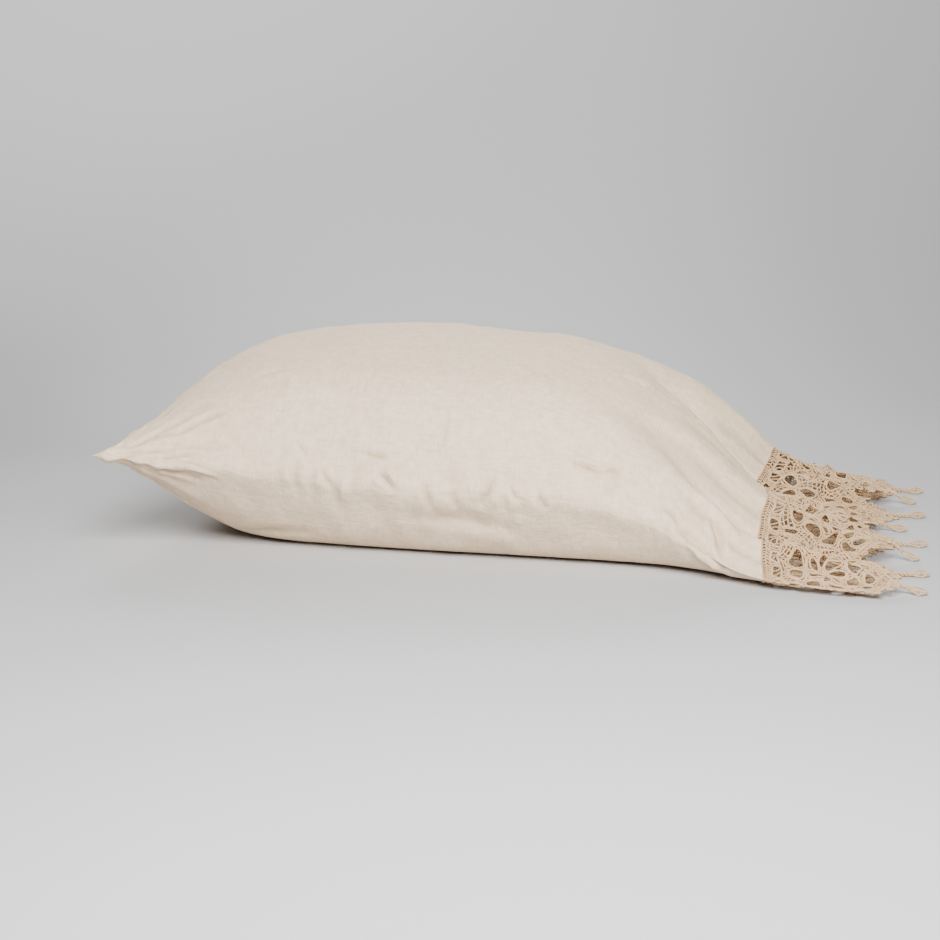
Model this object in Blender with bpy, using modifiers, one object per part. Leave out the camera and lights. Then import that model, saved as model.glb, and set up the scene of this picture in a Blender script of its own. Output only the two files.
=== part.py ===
"""A linen pillowcase on its pillow, lying on its back, with a crochet lace band at the open end.

Metres, +Z up. X runs from the closed end to the lace, and Y across the case, the near side
negative. A place on the cloth is given by its run, the distance from the closed end along the
cloth, and by its turn, the share of the way round: 0 at the near side, 0.25 on the crown, 0.5
at the far side and 0.75 on the underside.
"""

from math import cos, pi, radians, sin, tau

import bmesh
import bpy
import numpy as np
from mathutils import Vector
from mathutils.geometry import delaunay_2d_cdt

# The case: the cloth's length from the closed seam to the lace, and how it lies.
CASE_RUN = 0.690
LACE_DEPTH = 0.125
CENTRE_X = 0.02109  # the middle of the whole part on the axis of the section table

# One row for each cross-section: its run, its place along X, its half width, the heights of the
# crown and of the two sides, how square its shoulders are (a lower number is squarer), how far
# the crown's cloth is drawn back, and how far the far side lies behind the near one.
SECTION_COLUMNS = ("run", "x", "half_width", "crown", "near", "far", "shoulder", "pull", "skew")
SECTION_ROWS = (
    (0.000, -0.368, 0.243, 0.190, 0.097, 0.090, 0.92, 0.000, 0.000),
    (0.050, -0.322, 0.232, 0.190, 0.092, 0.086, 0.80, 0.000, 0.000),
    (0.120, -0.256, 0.221, 0.192, 0.086, 0.080, 0.66, 0.000, 0.000),
    (0.200, -0.180, 0.213, 0.194, 0.079, 0.076, 0.57, 0.000, 0.000),
    (0.300, -0.085, 0.209, 0.195, 0.070, 0.073, 0.52, 0.000, 0.000),
    (0.400, 0.010, 0.208, 0.190, 0.068, 0.072, 0.50, 0.000, 0.000),
    (0.460, 0.066, 0.208, 0.179, 0.067, 0.070, 0.50, 0.001, 0.002),
    (0.520, 0.121, 0.208, 0.160, 0.062, 0.064, 0.52, 0.004, 0.004),
    (0.570, 0.163, 0.209, 0.134, 0.046, 0.054, 0.56, 0.008, 0.007),
    (0.610, 0.194, 0.213, 0.106, 0.030, 0.040, 0.62, 0.010, 0.010),
    (0.650, 0.222, 0.220, 0.077, 0.016, 0.026, 0.70, 0.012, 0.013),
    (0.690, 0.251, 0.228, 0.051, 0.010, 0.015, 0.74, 0.013, 0.015),
    (0.730, 0.286, 0.235, 0.034, 0.008, 0.011, 0.76, 0.013, 0.016),
    (0.770, 0.324, 0.239, 0.022, 0.007, 0.008, 0.78, 0.013, 0.016),
    (0.815, 0.368, 0.241, 0.015, 0.006, 0.006, 0.80, 0.013, 0.016),
)
SECTIONS = dict(zip(SECTION_COLUMNS, np.array(SECTION_ROWS).T))

# One row for each soft fold of the empty end: the runs where it starts and where it is full,
# its place across the case at its start and at the lace, its half width, its rise, which is
# negative for a trough, and how far it draws the cloth back from the lace's edge.
FOLD_COLUMNS = ("starts", "full", "from_y", "to_y", "width", "rise", "back")
FOLD_ROWS = (
    (0.52, 0.68, -0.158, -0.186, 0.024, 0.009, 0.000),
    (0.47, 0.64, -0.118, -0.142, 0.019, -0.012, 0.003),
    (0.46, 0.67, -0.052, -0.078, 0.040, 0.010, -0.008),
    (0.50, 0.62, -0.012, -0.028, 0.012, -0.005, 0.002),
    (0.42, 0.65, 0.064, 0.024, 0.024, -0.018, 0.016),
    (0.46, 0.66, 0.108, 0.094, 0.026, 0.013, -0.004),
    (0.50, 0.66, 0.150, 0.148, 0.016, -0.007, 0.004),
)
FOLDS = dict(zip(FOLD_COLUMNS, np.array(FOLD_ROWS).T))
FOLD_FADE = 0.62  # the share of a fold's rise that the lace loses by its tips

NOSE_RUN = 0.22  # over which the closed end swells from its seam to full thickness
NOSE_POWER = 2.4
NOSE_ROUND = 0.56
BELLY = 0.112  # how far the underside would sag below its sides with no floor
ROUND_BELLY = 2.4
ROUND_CROWN = 2.2
SQUARER_BELLY = 0.08  # how much squarer the underside's shoulders are than the crown's
SQUAREST = 0.5
FOLDS_REACH = 1.5  # how near the two sides the soft folds keep their full rise
SIDE_BLEND = 12  # how closely both layers keep their shapes before they meet at the two sides
LEAN = 0.30  # how far the crown of the mouth leans to the far side
DRAWN_IN = 0.032  # the closed seam's middle, pulled in from the line between its two ears
DRAWN_ROUND = 2.6
EAR_RUN = 0.09
EAR_SHARP = 1.2
FLOOR_SOFT = 0.012  # how gently the underside rounds off to the floor
LAYERS_APART = 0.0052  # the upper layer's least height at the open end
LAYERS_SOFT = 0.005
MOUTH_STARTS = 0.46  # the run where the filling begins to give way to the empty end

# The case's own mesh: how many sections and points round each, and the pocket at its mouth.
CASE_SECTIONS = 32
CASE_ROUND = 72
END_CROWDING = 0.62  # above 0, sections stand closer at the two ends than in the middle
POCKET_SECTIONS = 8
LINEN_WALL = 0.0020
POCKET_ROUND = 8  # how closely the pocket keeps its height before its two sides
SIDE_ALLOWANCE = 0.009  # the turned-in cloth of the two side seams, inside the mouth
FILLING_BULGE = 0.005  # the pillow's own rounded end, at the bottom of the pocket
FILLING_STEPS = 3

# The lace: repeats round the mouth, and one repeat's rows and motifs, drawn flat. Flat places
# are (u, v): u from the middle of a repeat along the seam, v down from the seam.
LACE_WALL = 0.0016
LACE_STARTS = 0.0018  # its wall leans back towards the linen by nearly this, where the cloth falls
SEAM_GAP = 0.0003
REPEATS = 8
PITCH = 0.127
TIP_PHASE = 0.25  # of a repeat, so upper tips lie between the lower ones
FOOTING = 0.008
LADDER_ROW = (0.0145, 0.0150, 0.0084)  # middle of the row, opening's width and height
LADDER_COUNT = 6
WHEEL = (0.0, 0.062)
WHEEL_EYES = 8
WHEEL_PETAL = (0.0134, 0.0140, 0.0074)  # distance from the hub, length and width of an opening
WHEEL_ARCH = (0.0284, 0.0112, 0.0164)
WHEEL_TWIST = radians(14.0)
FLOWER_V = 0.046
FLOWER_EYES = 6
FLOWER_PETAL = (0.0108, 0.0122, 0.0074)
CORNER_EYES = ((0.0330, 0.0300, 0.0110, 0.0165, 40.0), (0.0470, 0.0730, 0.0105, 0.0165, -30.0))
EDGE_EYES = 5
EDGE_EYE = (0.0430, 0.0096, 0.0138)
EDGE_SPREAD = radians(50.0)
VALLEY_V = 0.084
SCALLOP_POWER = 1.35
KNOBS = 10
KNOB_RISE = 0.0030
FLAT_GRID = 0.0090  # the spacing of the points that let the solid parts of the lace bend
CLEAR_OF_SIDE = 0.0045
CLEAR_OF_EYE = 0.0015
SIDE_POINTS = 8
PETAL_CORNERS = 5
EYE_CORNERS = 4

# The drops: a twisted stem that ends in a small leaf, one at each scallop tip.
DROP_LENGTH = 0.031
DROP_SIDES = 6
DROP_ROWS = (  # share of its length, half width, half height
    (0.00, 0.0024, 0.0008),
    (0.08, 0.0029, 0.0014),
    (0.28, 0.0021, 0.0015),
    (0.52, 0.0023, 0.0016),
    (0.66, 0.0034, 0.0017),
    (0.82, 0.0045, 0.0018),
    (0.94, 0.0031, 0.0015),
    (1.00, 0.0012, 0.0009),
)
DROP_FALL = 0.6  # the share of its length over which a drop comes down to the floor
DROP_BACK = 0.010  # how far back from the tip the cloth's own direction is taken
DROP_FOLLOWS = 0.3  # how much of that direction a drop takes up
HEADINGS = (-9.0, 7.0, -4.0, 12.0)  # degrees that the drops of one layer point aside

LINEN_COLOUR = (0.80, 0.74, 0.66)
LINEN_ROUGHNESS = 0.90
LACE_COLOUR = (0.66, 0.54, 0.40)
LACE_ROUGHNESS = 0.92

DENSE = 360  # steps across one layer when a section is measured out by its length


def smooth(low, high, value):
    """0 below low, 1 above high, and a smooth step between."""
    share = np.clip((value - low) / (high - low), 0.0, 1.0)
    return share * share * (3 - 2 * share)


def resting(height, soft):
    """A height stopped at zero, rounded off over soft on each side of it."""
    rounded = (height + soft) ** 2 / (4 * soft)
    return np.where(height < -soft, 0.0, np.where(height > soft, height, rounded))


def section(column, run):
    """A column of the section table at a run, on a smooth curve through its rows."""
    runs, values = SECTIONS["run"], SECTIONS[column]
    slopes = np.gradient(values, runs)
    run = min(max(run, runs[0]), runs[-1])
    row = min(int(np.searchsorted(runs, run, side="right")) - 1, len(runs) - 2)
    width = runs[row + 1] - runs[row]
    t = (run - runs[row]) / width
    ends = (1 + 2 * t) * (1 - t) ** 2 * values[row] + t * t * (3 - 2 * t) * values[row + 1]
    bends = t * (1 - t) ** 2 * slopes[row] + t * t * (t - 1) * slopes[row + 1]
    return float(ends + width * bends)


def folds_at(run, y, effect):
    """The soft folds' rise, or how far they draw the cloth back, at places across the case."""
    drawn = smooth(FOLDS["starts"], FOLDS["full"], run)
    along = smooth(FOLDS["starts"], CASE_RUN, run)
    middle = FOLDS["from_y"] + (FOLDS["to_y"] - FOLDS["from_y"]) * along
    fade = 1 - FOLD_FADE * smooth(CASE_RUN, CASE_RUN + LACE_DEPTH, run)
    bumps = np.exp(-(((y[:, None] - middle) / FOLDS["width"]) ** 2))
    return bumps @ (FOLDS[effect] * drawn * fade)


def layer_heights(run, across):
    """The heights of the upper and the lower layer, at shares across from -1 to 1."""
    crown, near, far = (section(name, run) for name in ("crown", "near", "far"))
    shoulder = section("shoulder", run)
    swell = (1 - (1 - min(run / NOSE_RUN, 1.0)) ** NOSE_POWER) ** NOSE_ROUND
    mouth = smooth(MOUTH_STARTS, CASE_RUN, run)
    side = near + (far - near) * smooth(-1.0, 1.0, across)
    leaning = across - LEAN * mouth * (1 - across**2) / 2
    lift = np.maximum(1 - np.abs(leaning) ** ROUND_CROWN, 0.0) ** shoulder
    upper = side + (crown - (near + far) / 2) * swell * lift
    folds = folds_at(run, section("half_width", run) * across, "rise")
    upper = upper + folds * np.clip(FOLDS_REACH * lift, 0.0, 1.0)
    least = LAYERS_APART * mouth
    upper = least + resting(upper - least, LAYERS_SOFT)
    squareness = max(shoulder - SQUARER_BELLY, SQUAREST)
    sag = np.maximum(1 - np.abs(across) ** ROUND_BELLY, 0.0) ** squareness
    lower = resting(side - BELLY * swell * sag, FLOOR_SOFT)
    blend = 1 - across**SIDE_BLEND
    return side + (upper - side) * blend, side + (lower - side) * blend


def layer_line(run, is_upper, wall=0.0, fill=1.0, forward=0.0):
    """One layer of a section, as a line of points from the near side to the far side.

    With a wall it is the inner face of that layer. fill is the share of the inner height that
    is left, and forward moves the line along X: together they round off the pocket's bottom.
    """
    around = np.linspace(0.0, pi, DENSE + 1)
    full_across = -np.cos(around)
    half_width = section("half_width", run)
    across = full_across * (1 - (SIDE_ALLOWANCE / half_width if wall else 0.0))
    upper, lower = layer_heights(run, across)
    if wall:
        middle = (upper + lower) / 2
        room = np.maximum((upper - lower) / 2 - wall, 0.0)
        room = room * fill * np.sqrt(np.maximum(1 - full_across**POCKET_ROUND, 0.0))
        upper, lower = middle + room, middle - room
    drawn = DRAWN_IN * (1 - np.abs(across) ** DRAWN_ROUND) * np.exp(-((run / EAR_RUN) ** EAR_SHARP))
    x = section("x", run) - CENTRE_X + drawn - section("skew", run) * across + forward
    if is_upper:
        back = section("pull", run) + folds_at(run, half_width * across, "back")
        x = x - fill * back * (1 - across**2)
    return np.column_stack((x, half_width * across, upper if is_upper else lower))


def at_shares(line, shares):
    """Points of a line at shares of its length."""
    steps = np.linalg.norm(np.diff(line, axis=0), axis=1)
    length = np.concatenate(([0.0], np.cumsum(steps)))
    length = length / max(length[-1], 1e-9)
    return np.column_stack([np.interp(shares, length, line[:, axis]) for axis in range(3)])


def ring(run, turns, **inside):
    """The points of one section at the given turns."""
    turns = np.mod(turns, 1.0)
    upper = at_shares(layer_line(run, True, **inside), np.clip(2 * turns, 0.0, 1.0))
    lower = at_shares(layer_line(run, False, **inside), np.clip(2 - 2 * turns, 0.0, 1.0))
    return np.where(turns[:, None] <= 0.5, upper, lower)


def loft(bm, rings):
    """Quads between closed rings of points, each ring as long as the next."""
    rows = [[bm.verts.new(point) for point in points] for points in rings]
    count = len(rows[0])
    for first, second in zip(rows, rows[1:]):
        for i in range(count):
            j = (i + 1) % count
            bm.faces.new((first[i], second[i], second[j], first[j]))
    return rows


def make_material(name, colour, roughness):
    """A plain woven finish in one colour."""
    material = bpy.data.materials.new(name)
    material.use_nodes = True
    shader = material.node_tree.nodes["Principled BSDF"]
    shader.inputs["Base Color"].default_value = (*colour, 1.0)
    shader.inputs["Roughness"].default_value = roughness
    shader.inputs["Metallic"].default_value = 0.0
    return material


def add_object(name, bm, collection, material):
    """An object made of a bmesh, with its doubles merged and its faces pointing out."""
    bmesh.ops.remove_doubles(bm, verts=bm.verts, dist=0.00001)
    bmesh.ops.recalc_face_normals(bm, faces=bm.faces)
    mesh = bpy.data.meshes.new(name)
    bm.to_mesh(mesh)
    bm.free()
    mesh.shade_smooth()
    mesh.materials.append(material)
    piece = bpy.data.objects.new(name, mesh)
    collection.objects.link(piece)
    return piece


def make_case(collection, material):
    """The filled case: its outside from the closed seam to the mouth, then the pocket inside."""
    turns = np.arange(CASE_ROUND) / CASE_ROUND
    shares = np.linspace(0.0, 1.0, CASE_SECTIONS)
    runs = CASE_RUN * (shares - END_CROWDING * np.sin(tau * shares) / tau)
    pocket_runs = runs[: -POCKET_SECTIONS - 1 : -1]
    rings = [ring(run, turns) for run in runs]
    rings += [ring(run, turns, wall=LINEN_WALL) for run in pocket_runs]
    for step in range(1, FILLING_STEPS + 1):
        angle = radians(90.0 * step / FILLING_STEPS)
        rounding = {"fill": cos(angle), "forward": FILLING_BULGE * sin(angle)}
        rings.append(ring(pocket_runs[-1], turns, wall=LINEN_WALL, **rounding))
    bm = bmesh.new()
    loft(bm, rings)
    return add_object("linen_case", bm, collection, material)


def eye(middle, length, width, angle, corners):
    """A leaf-shaped opening of the lace, drawn flat, its length along the angle."""
    turned = [tau * (corner + 0.5 * (corners % 2)) / corners for corner in range(corners)]
    along = (cos(angle), sin(angle))
    points = []
    for turn in turned:
        ahead, aside = cos(turn) * length / 2, sin(turn) * width / 2
        u = middle[0] + ahead * along[0] - aside * along[1]
        v = middle[1] + ahead * along[1] + aside * along[0]
        points.append((u, v))
    return points


def box_eye(middle, width, height):
    """A square opening of the ladder row."""
    u, v = middle
    signs = ((-1, -1), (1, -1), (1, 1), (-1, 1))
    return [(u + a * width / 2, v + b * height / 2) for a, b in signs]


def polar(centre, distance, angle):
    """A flat place at a distance and an angle from a centre."""
    return centre[0] + distance * cos(angle), centre[1] + distance * sin(angle)


def wheel_eyes(centre, count, sizes, start, twist, corners):
    """A ring of openings round a hub, each turned by the twist from its spoke."""
    distance, length, width = sizes
    eyes = []
    for spoke in range(count):
        angle = start + tau * spoke / count
        eyes.append(eye(polar(centre, distance, angle), length, width, angle + twist, corners))
    return eyes


def lace_eyes():
    """Every opening of one repeat: ladder row, wheel, half flowers, corners and scallop edge."""
    row_v, row_width, row_height = LADDER_ROW
    step = PITCH / LADDER_COUNT
    eyes = []
    for i in range(LADDER_COUNT):
        eyes.append(box_eye(((i + 0.5) * step - PITCH / 2, row_v), row_width, row_height))
    eyes += wheel_eyes(WHEEL, WHEEL_EYES, WHEEL_PETAL, 0.0, WHEEL_TWIST, PETAL_CORNERS)
    eyes += wheel_eyes(WHEEL, WHEEL_EYES, WHEEL_ARCH, pi / WHEEL_EYES, 0.0, EYE_CORNERS)
    for side in (-1, 1):
        hub = (side * PITCH / 2, FLOWER_V)
        flower = wheel_eyes(hub, FLOWER_EYES, FLOWER_PETAL, 0.0, 0.0, EYE_CORNERS)
        eyes += [points for points in flower if side * (side * PITCH / 2 - points[0][0]) > 0]
        for u, v, length, width, turn in CORNER_EYES:
            eyes.append(eye((side * u, v), length, width, side * radians(turn), EYE_CORNERS))
    distance, length, width = EDGE_EYE
    for i in range(EDGE_EYES):
        angle = pi / 2 + EDGE_SPREAD * (2 * i / (EDGE_EYES - 1) - 1)
        eyes.append(eye(polar(WHEEL, distance, angle), length, width, angle, EYE_CORNERS))
    return eyes


def scallop_v(u):
    """The depth of the scalloped edge, without its knobs."""
    share = np.abs(u) / (PITCH / 2)
    return VALLEY_V + (LACE_DEPTH - VALLEY_V) * (1 - share**SCALLOP_POWER)


def lace_outline():
    """One repeat's outline, with knobs along the scallop. Its two sides match the next repeat."""
    side_v = np.linspace(0.0, VALLEY_V, SIDE_POINTS)
    side_v[1] = FOOTING
    step = PITCH / LADDER_COUNT
    top = [(i * step - PITCH / 2, 0.0) for i in range(LADDER_COUNT + 1)]
    right = [(PITCH / 2, v) for v in side_v[1:]]
    edge = []
    for i in range(1, 2 * KNOBS):
        u = PITCH / 2 * (1 - i / KNOBS)
        dip = KNOB_RISE if i % 2 else 0.0
        edge.append((u, float(scallop_v(u)) - dip))
    left = [(-PITCH / 2, v) for v in side_v[:0:-1]]
    return top + right + edge + left


def outside_all(point, eyes, margin):
    """Whether a flat place is clear of every opening by the margin."""
    for points in eyes:
        middle = np.mean(points, axis=0)
        reach = max(np.linalg.norm(np.subtract(points, middle), axis=1))
        if np.linalg.norm(np.subtract(point, middle)) < reach + margin:
            return False
    return True


def bending_points(eyes):
    """Points on the solid parts of a repeat, which let the lace bend there."""
    found = []
    for row, v in enumerate(np.arange(FOOTING, LACE_DEPTH, FLAT_GRID)):
        for u in np.arange(-PITCH / 2, PITCH / 2, FLAT_GRID) + FLAT_GRID / 2 * (row % 2):
            inside = abs(u) < PITCH / 2 - CLEAR_OF_SIDE and v < scallop_v(u) - 2 * CLEAR_OF_SIDE
            if inside and outside_all((u, v), eyes, CLEAR_OF_EYE):
                found.append((float(u), float(v)))
    return found


def lace_repeat():
    """One flat repeat as points and triangles, with its openings left out."""
    eyes = lace_eyes()
    outline = lace_outline()
    loops = [outline] + eyes
    points = [Vector(point) for loop in loops for point in loop]
    edges = []
    owners = []
    start = 0
    for index, loop in enumerate(loops):
        count = len(loop)
        edges += [(start + i, start + (i + 1) % count) for i in range(count)]
        owners += [index] * count
        start += count
    extra = bending_points(eyes)
    points += [Vector(point) for point in extra]
    owners += [-1] * len(extra)
    made = delaunay_2d_cdt(points, edges, [], 1, 0.00001)
    triangles = []
    for face in made[2]:
        loops_met = {owners[made[3][corner][0]] for corner in face}
        in_opening = len(loops_met) == 1 and min(loops_met) > 0
        if not in_opening:
            triangles.append(tuple(face))
    return np.array([tuple(point) for point in made[0]]), triangles


def on_lace(u, v, repeat):
    """The flat place (u, v) of a repeat, laid on the mouth's sections."""
    turn = (repeat + TIP_PHASE + u / PITCH) / REPEATS
    return ring(CASE_RUN + v, np.array([turn]))[0]


def make_lace(collection, material):
    """The lace band: eight flat repeats laid round the mouth and joined, with a thickness."""
    flat, triangles = lace_repeat()
    bm = bmesh.new()
    for repeat in range(REPEATS):
        placed = [bm.verts.new(on_lace(u, max(v, LACE_STARTS), repeat)) for u, v in flat]
        for corners in triangles:
            bm.faces.new([placed[corner] for corner in corners])
    band = add_object("lace_band", bm, collection, material)
    thickness = band.modifiers.new("crochet", "SOLIDIFY")
    thickness.thickness = LACE_WALL
    thickness.offset = -1.0
    return band


def make_drop(name, repeat, heading, collection, material):
    """One drop: flattened sections along a line from its scallop tip down to the floor."""
    tip = Vector(on_lace(0.0, LACE_DEPTH, repeat))
    before = Vector(on_lace(0.0, LACE_DEPTH - DROP_BACK, repeat))
    ahead = tip - before
    ahead.z = 0.0
    ahead.normalize()
    ahead = Vector((cos(heading), sin(heading), 0.0)).lerp(ahead, DROP_FOLLOWS)
    ahead.normalize()
    aside = Vector((-ahead.y, ahead.x, 0.0))
    is_upper = repeat < REPEATS / 2
    start_z = max(tip.z - LACE_WALL / 2, 0.0) if is_upper else LACE_WALL / 2
    rings = []
    for row in DROP_ROWS:
        share, half_width, half_height = row
        centre = tip + ahead * (SEAM_GAP + share * DROP_LENGTH)
        centre.z = half_height + max(start_z - half_height, 0.0) * (1 - smooth(0.0, DROP_FALL, share))
        points = []
        for side in range(DROP_SIDES):
            angle = tau * side / DROP_SIDES
            lift = Vector((0.0, 0.0, half_height * sin(angle)))
            points.append(centre + aside * half_width * cos(angle) + lift)
        rings.append(points)
    bm = bmesh.new()
    rows = loft(bm, rings)
    bm.faces.new(rows[0])
    bm.faces.new(rows[-1])
    return add_object(name, bm, collection, material)


def make_pillowcase():
    """Every piece, in one collection."""
    for piece in list(bpy.data.objects):
        bpy.data.objects.remove(piece)
    collection = bpy.data.collections.new("pillowcase")
    bpy.context.scene.collection.children.link(collection)
    linen = make_material("linen", LINEN_COLOUR, LINEN_ROUGHNESS)
    lace = make_material("lace", LACE_COLOUR, LACE_ROUGHNESS)
    make_case(collection, linen)
    make_lace(collection, lace)
    per_layer = REPEATS // 2
    for repeat in range(REPEATS):
        layer = "top" if repeat < per_layer else "bottom"
        number = repeat % per_layer + 1
        heading = radians(HEADINGS[repeat % per_layer])
        make_drop(f"lace_drop_{layer}_{number}", repeat, heading, collection, lace)


make_pillowcase()
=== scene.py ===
"""A linen pillowcase on its pillow, with a crochet lace edge, dressed over its solids.

Metres, +Z up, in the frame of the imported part. X runs from the closed end to the lace and Y
across the case, the near side negative. A place on the cloth is its run, the distance from the
closed end along the cloth, and its turn, the share of the way round: 0 at the near side, 0.25
on the crown, 0.5 at the far side and 0.75 on the underside. A place on the lace is its u, along
the seam from the middle of its repeat, and its v, down from the seam.
"""

from __future__ import annotations

import logging
from dataclasses import dataclass, field, replace
from enum import Enum
from math import cos, pi, radians, sin, tau

import bmesh
import bpy
import numpy as np
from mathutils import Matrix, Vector

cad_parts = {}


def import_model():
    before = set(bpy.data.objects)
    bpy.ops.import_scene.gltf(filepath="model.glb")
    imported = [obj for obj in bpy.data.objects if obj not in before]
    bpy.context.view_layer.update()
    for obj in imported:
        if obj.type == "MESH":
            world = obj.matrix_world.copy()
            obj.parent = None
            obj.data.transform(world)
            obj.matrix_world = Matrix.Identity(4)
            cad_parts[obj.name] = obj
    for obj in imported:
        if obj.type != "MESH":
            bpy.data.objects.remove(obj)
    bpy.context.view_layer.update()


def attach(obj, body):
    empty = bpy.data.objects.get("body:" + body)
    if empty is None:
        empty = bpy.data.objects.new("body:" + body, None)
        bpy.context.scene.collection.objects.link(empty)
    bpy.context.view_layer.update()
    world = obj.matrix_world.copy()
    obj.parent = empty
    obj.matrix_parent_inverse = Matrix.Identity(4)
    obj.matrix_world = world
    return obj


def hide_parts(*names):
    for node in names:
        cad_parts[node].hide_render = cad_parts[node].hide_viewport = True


Array = np.ndarray
Piece = bpy.types.Object
Material = bpy.types.Material
Socket = bpy.types.NodeSocket
Tree = bpy.types.NodeTree
Node = bpy.types.Node
Pair = tuple[float, float]
Triple = tuple[float, float, float]
LOG = logging.getLogger("pillowcase")

# How the filled case lies, section by section: the middle's place, half the width, the heights of
# the crown and of the two sides, how square the crown is, and how far it leans back and askew.
SECTION_COLUMNS = ("run", "x", "half_width", "crown", "near", "far", "shoulder", "pull", "skew")
SECTION_ROWS = (
    (0.000, -0.368, 0.243, 0.190, 0.097, 0.090, 0.92, 0.000, 0.000),
    (0.050, -0.322, 0.232, 0.190, 0.092, 0.086, 0.80, 0.000, 0.000),
    (0.120, -0.256, 0.221, 0.192, 0.086, 0.080, 0.66, 0.000, 0.000),
    (0.200, -0.180, 0.213, 0.194, 0.079, 0.076, 0.57, 0.000, 0.000),
    (0.300, -0.085, 0.209, 0.195, 0.070, 0.073, 0.52, 0.000, 0.000),
    (0.400, 0.010, 0.208, 0.190, 0.068, 0.072, 0.50, 0.000, 0.000),
    (0.460, 0.066, 0.208, 0.179, 0.067, 0.070, 0.50, 0.001, 0.002),
    (0.520, 0.121, 0.208, 0.160, 0.062, 0.064, 0.52, 0.004, 0.004),
    (0.570, 0.163, 0.209, 0.134, 0.046, 0.054, 0.56, 0.008, 0.007),
    (0.610, 0.194, 0.213, 0.106, 0.030, 0.040, 0.62, 0.010, 0.010),
    (0.650, 0.222, 0.220, 0.077, 0.016, 0.026, 0.70, 0.012, 0.013),
    (0.690, 0.251, 0.228, 0.051, 0.010, 0.015, 0.74, 0.013, 0.015),
    (0.730, 0.286, 0.235, 0.034, 0.008, 0.011, 0.76, 0.013, 0.016),
    (0.770, 0.324, 0.239, 0.022, 0.007, 0.008, 0.78, 0.013, 0.016),
    (0.815, 0.368, 0.241, 0.015, 0.006, 0.006, 0.80, 0.013, 0.016),
)
SECTIONS = dict(zip(SECTION_COLUMNS, np.array(SECTION_ROWS).T))

# The main folds towards the lace: the runs where each starts and is full, its place across at
# both ends, its half width and height, and how far it leans back.
FOLD_COLUMNS = ("starts", "full", "from_y", "to_y", "width", "rise", "back")
FOLD_ROWS = (
    (0.52, 0.68, -0.158, -0.186, 0.024, 0.009, 0.000),
    (0.47, 0.64, -0.118, -0.142, 0.019, -0.012, 0.003),
    (0.46, 0.67, -0.052, -0.078, 0.040, 0.010, -0.008),
    (0.50, 0.62, -0.012, -0.028, 0.012, -0.005, 0.002),
    (0.42, 0.65, 0.064, 0.024, 0.024, -0.018, 0.016),
    (0.46, 0.66, 0.108, 0.094, 0.026, 0.013, -0.004),
    (0.50, 0.66, 0.150, 0.148, 0.016, -0.007, 0.004),
)
FOLDS = dict(zip(FOLD_COLUMNS, np.array(FOLD_ROWS).T))

# The next three tables are in tenths of a millimetre and ten-thousandths of a turn.

# Creases pressed into the linen: the run and turn of each end, how far its middle bows
# aside, the half width of its trough and its depth, negative for a raised one.
CREASE_ROWS = (
    (2680, 310, 2940, 290, 0, 28, 34),
    (3510, 790, 3490, 420, 30, 29, -20),
    (2870, 140, 3010, 20, 10, 37, 37),
    (2930, 180, 3070, 40, 10, 37, -24),
    (4010, 190, 3890, -120, 0, 39, 31),
    (4180, 120, 4250, -20, 0, 31, 34),
    (3660, 80, 3720, -160, 0, 45, -20),
    (4750, 390, 5060, 340, 0, 33, 27),
    (4730, 430, 5040, 390, 0, 37, -20),
    (5060, 350, 5260, 360, 40, 31, 24),
    (5190, 350, 5120, 140, 0, 33, -31),
    (4960, 1900, 5480, 2120, 40, 45, -27),
    (5480, 2120, 6000, 2140, 30, 50, -27),
    (5000, 1840, 5600, 2040, 40, 50, 17),
    (5740, 260, 5880, 200, 0, 39, 41),
    (6310, 520, 6370, 180, 20, 55, 48),
    (6000, 620, 6620, 460, 40, 70, -41),
    (5900, 140, 6400, -120, 40, 70, 37),
    (6100, -60, 6720, -180, -30, 60, -31),
    (1980, 360, 2140, 200, 10, 39, 24),
    (2300, 120, 2380, -60, 0, 33, 27),
    (2520, 80, 2470, -200, 10, 39, -20),
    (3340, 100, 3380, -200, 0, 40, 24),
    (4450, 100, 4520, -100, 0, 35, 24),
    (3100, -300, 4200, -400, 40, 80, 20),
    (20, 60, 160, 300, 10, 31, 34),
    (100, 40, 280, 220, 10, 33, -27),
    (300, 140, 740, 200, 10, 31, 27),
    (440, 260, 920, 360, 20, 31, -20),
    (600, 100, 1120, 140, 10, 33, 24),
    (720, 380, 1180, 620, 20, 37, 20),
    (840, 220, 1300, 240, -10, 29, 20),
    (500, -120, 1000, -220, 20, 35, 24),
    (900, -80, 1220, -120, 10, 29, -20),
    (40, 4940, 200, 4700, 10, 33, 34),
    (340, 4860, 820, 4780, 20, 33, 24),
    (500, 4680, 1100, 4500, 20, 37, -20),
    (2400, 4900, 2620, 4740, 10, 39, 27),
    (3720, 4920, 3900, 4680, 20, 39, 31),
    (5200, 4800, 5700, 4700, 30, 50, 31),
    (6100, 4700, 6640, 4560, 40, 60, -34),
    (1700, 3000, 2620, 3220, 100, 60, 17),
    (3300, 3500, 3440, 4100, 60, 60, 19),
    (4300, 1500, 4460, 1200, 40, 37, 17),
    (1400, 1100, 1760, 1180, 20, 37, 14),
    (1500, 6400, 3000, 6600, 100, 70, 20),
    (1200, 9000, 2100, 9300, 60, 60, 20),
)
CREASES = np.array(CREASE_ROWS) / 10000

# The narrow ones of these on the near side also get a sharp middle in the linen's finish, and the
# sunk ones painted shade.
SHARP_WIDTH, SHARP_FROM_RUN, SHARP_TO_TURN = 0.0040, 0.15, 0.1
SHARP_CREASES = CREASES[
    (CREASES[:, 5] < SHARP_WIDTH)
    & (CREASES[:, 0] > SHARP_FROM_RUN)
    & (np.abs(CREASES[:, 1]) < SHARP_TO_TURN)
]

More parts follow.
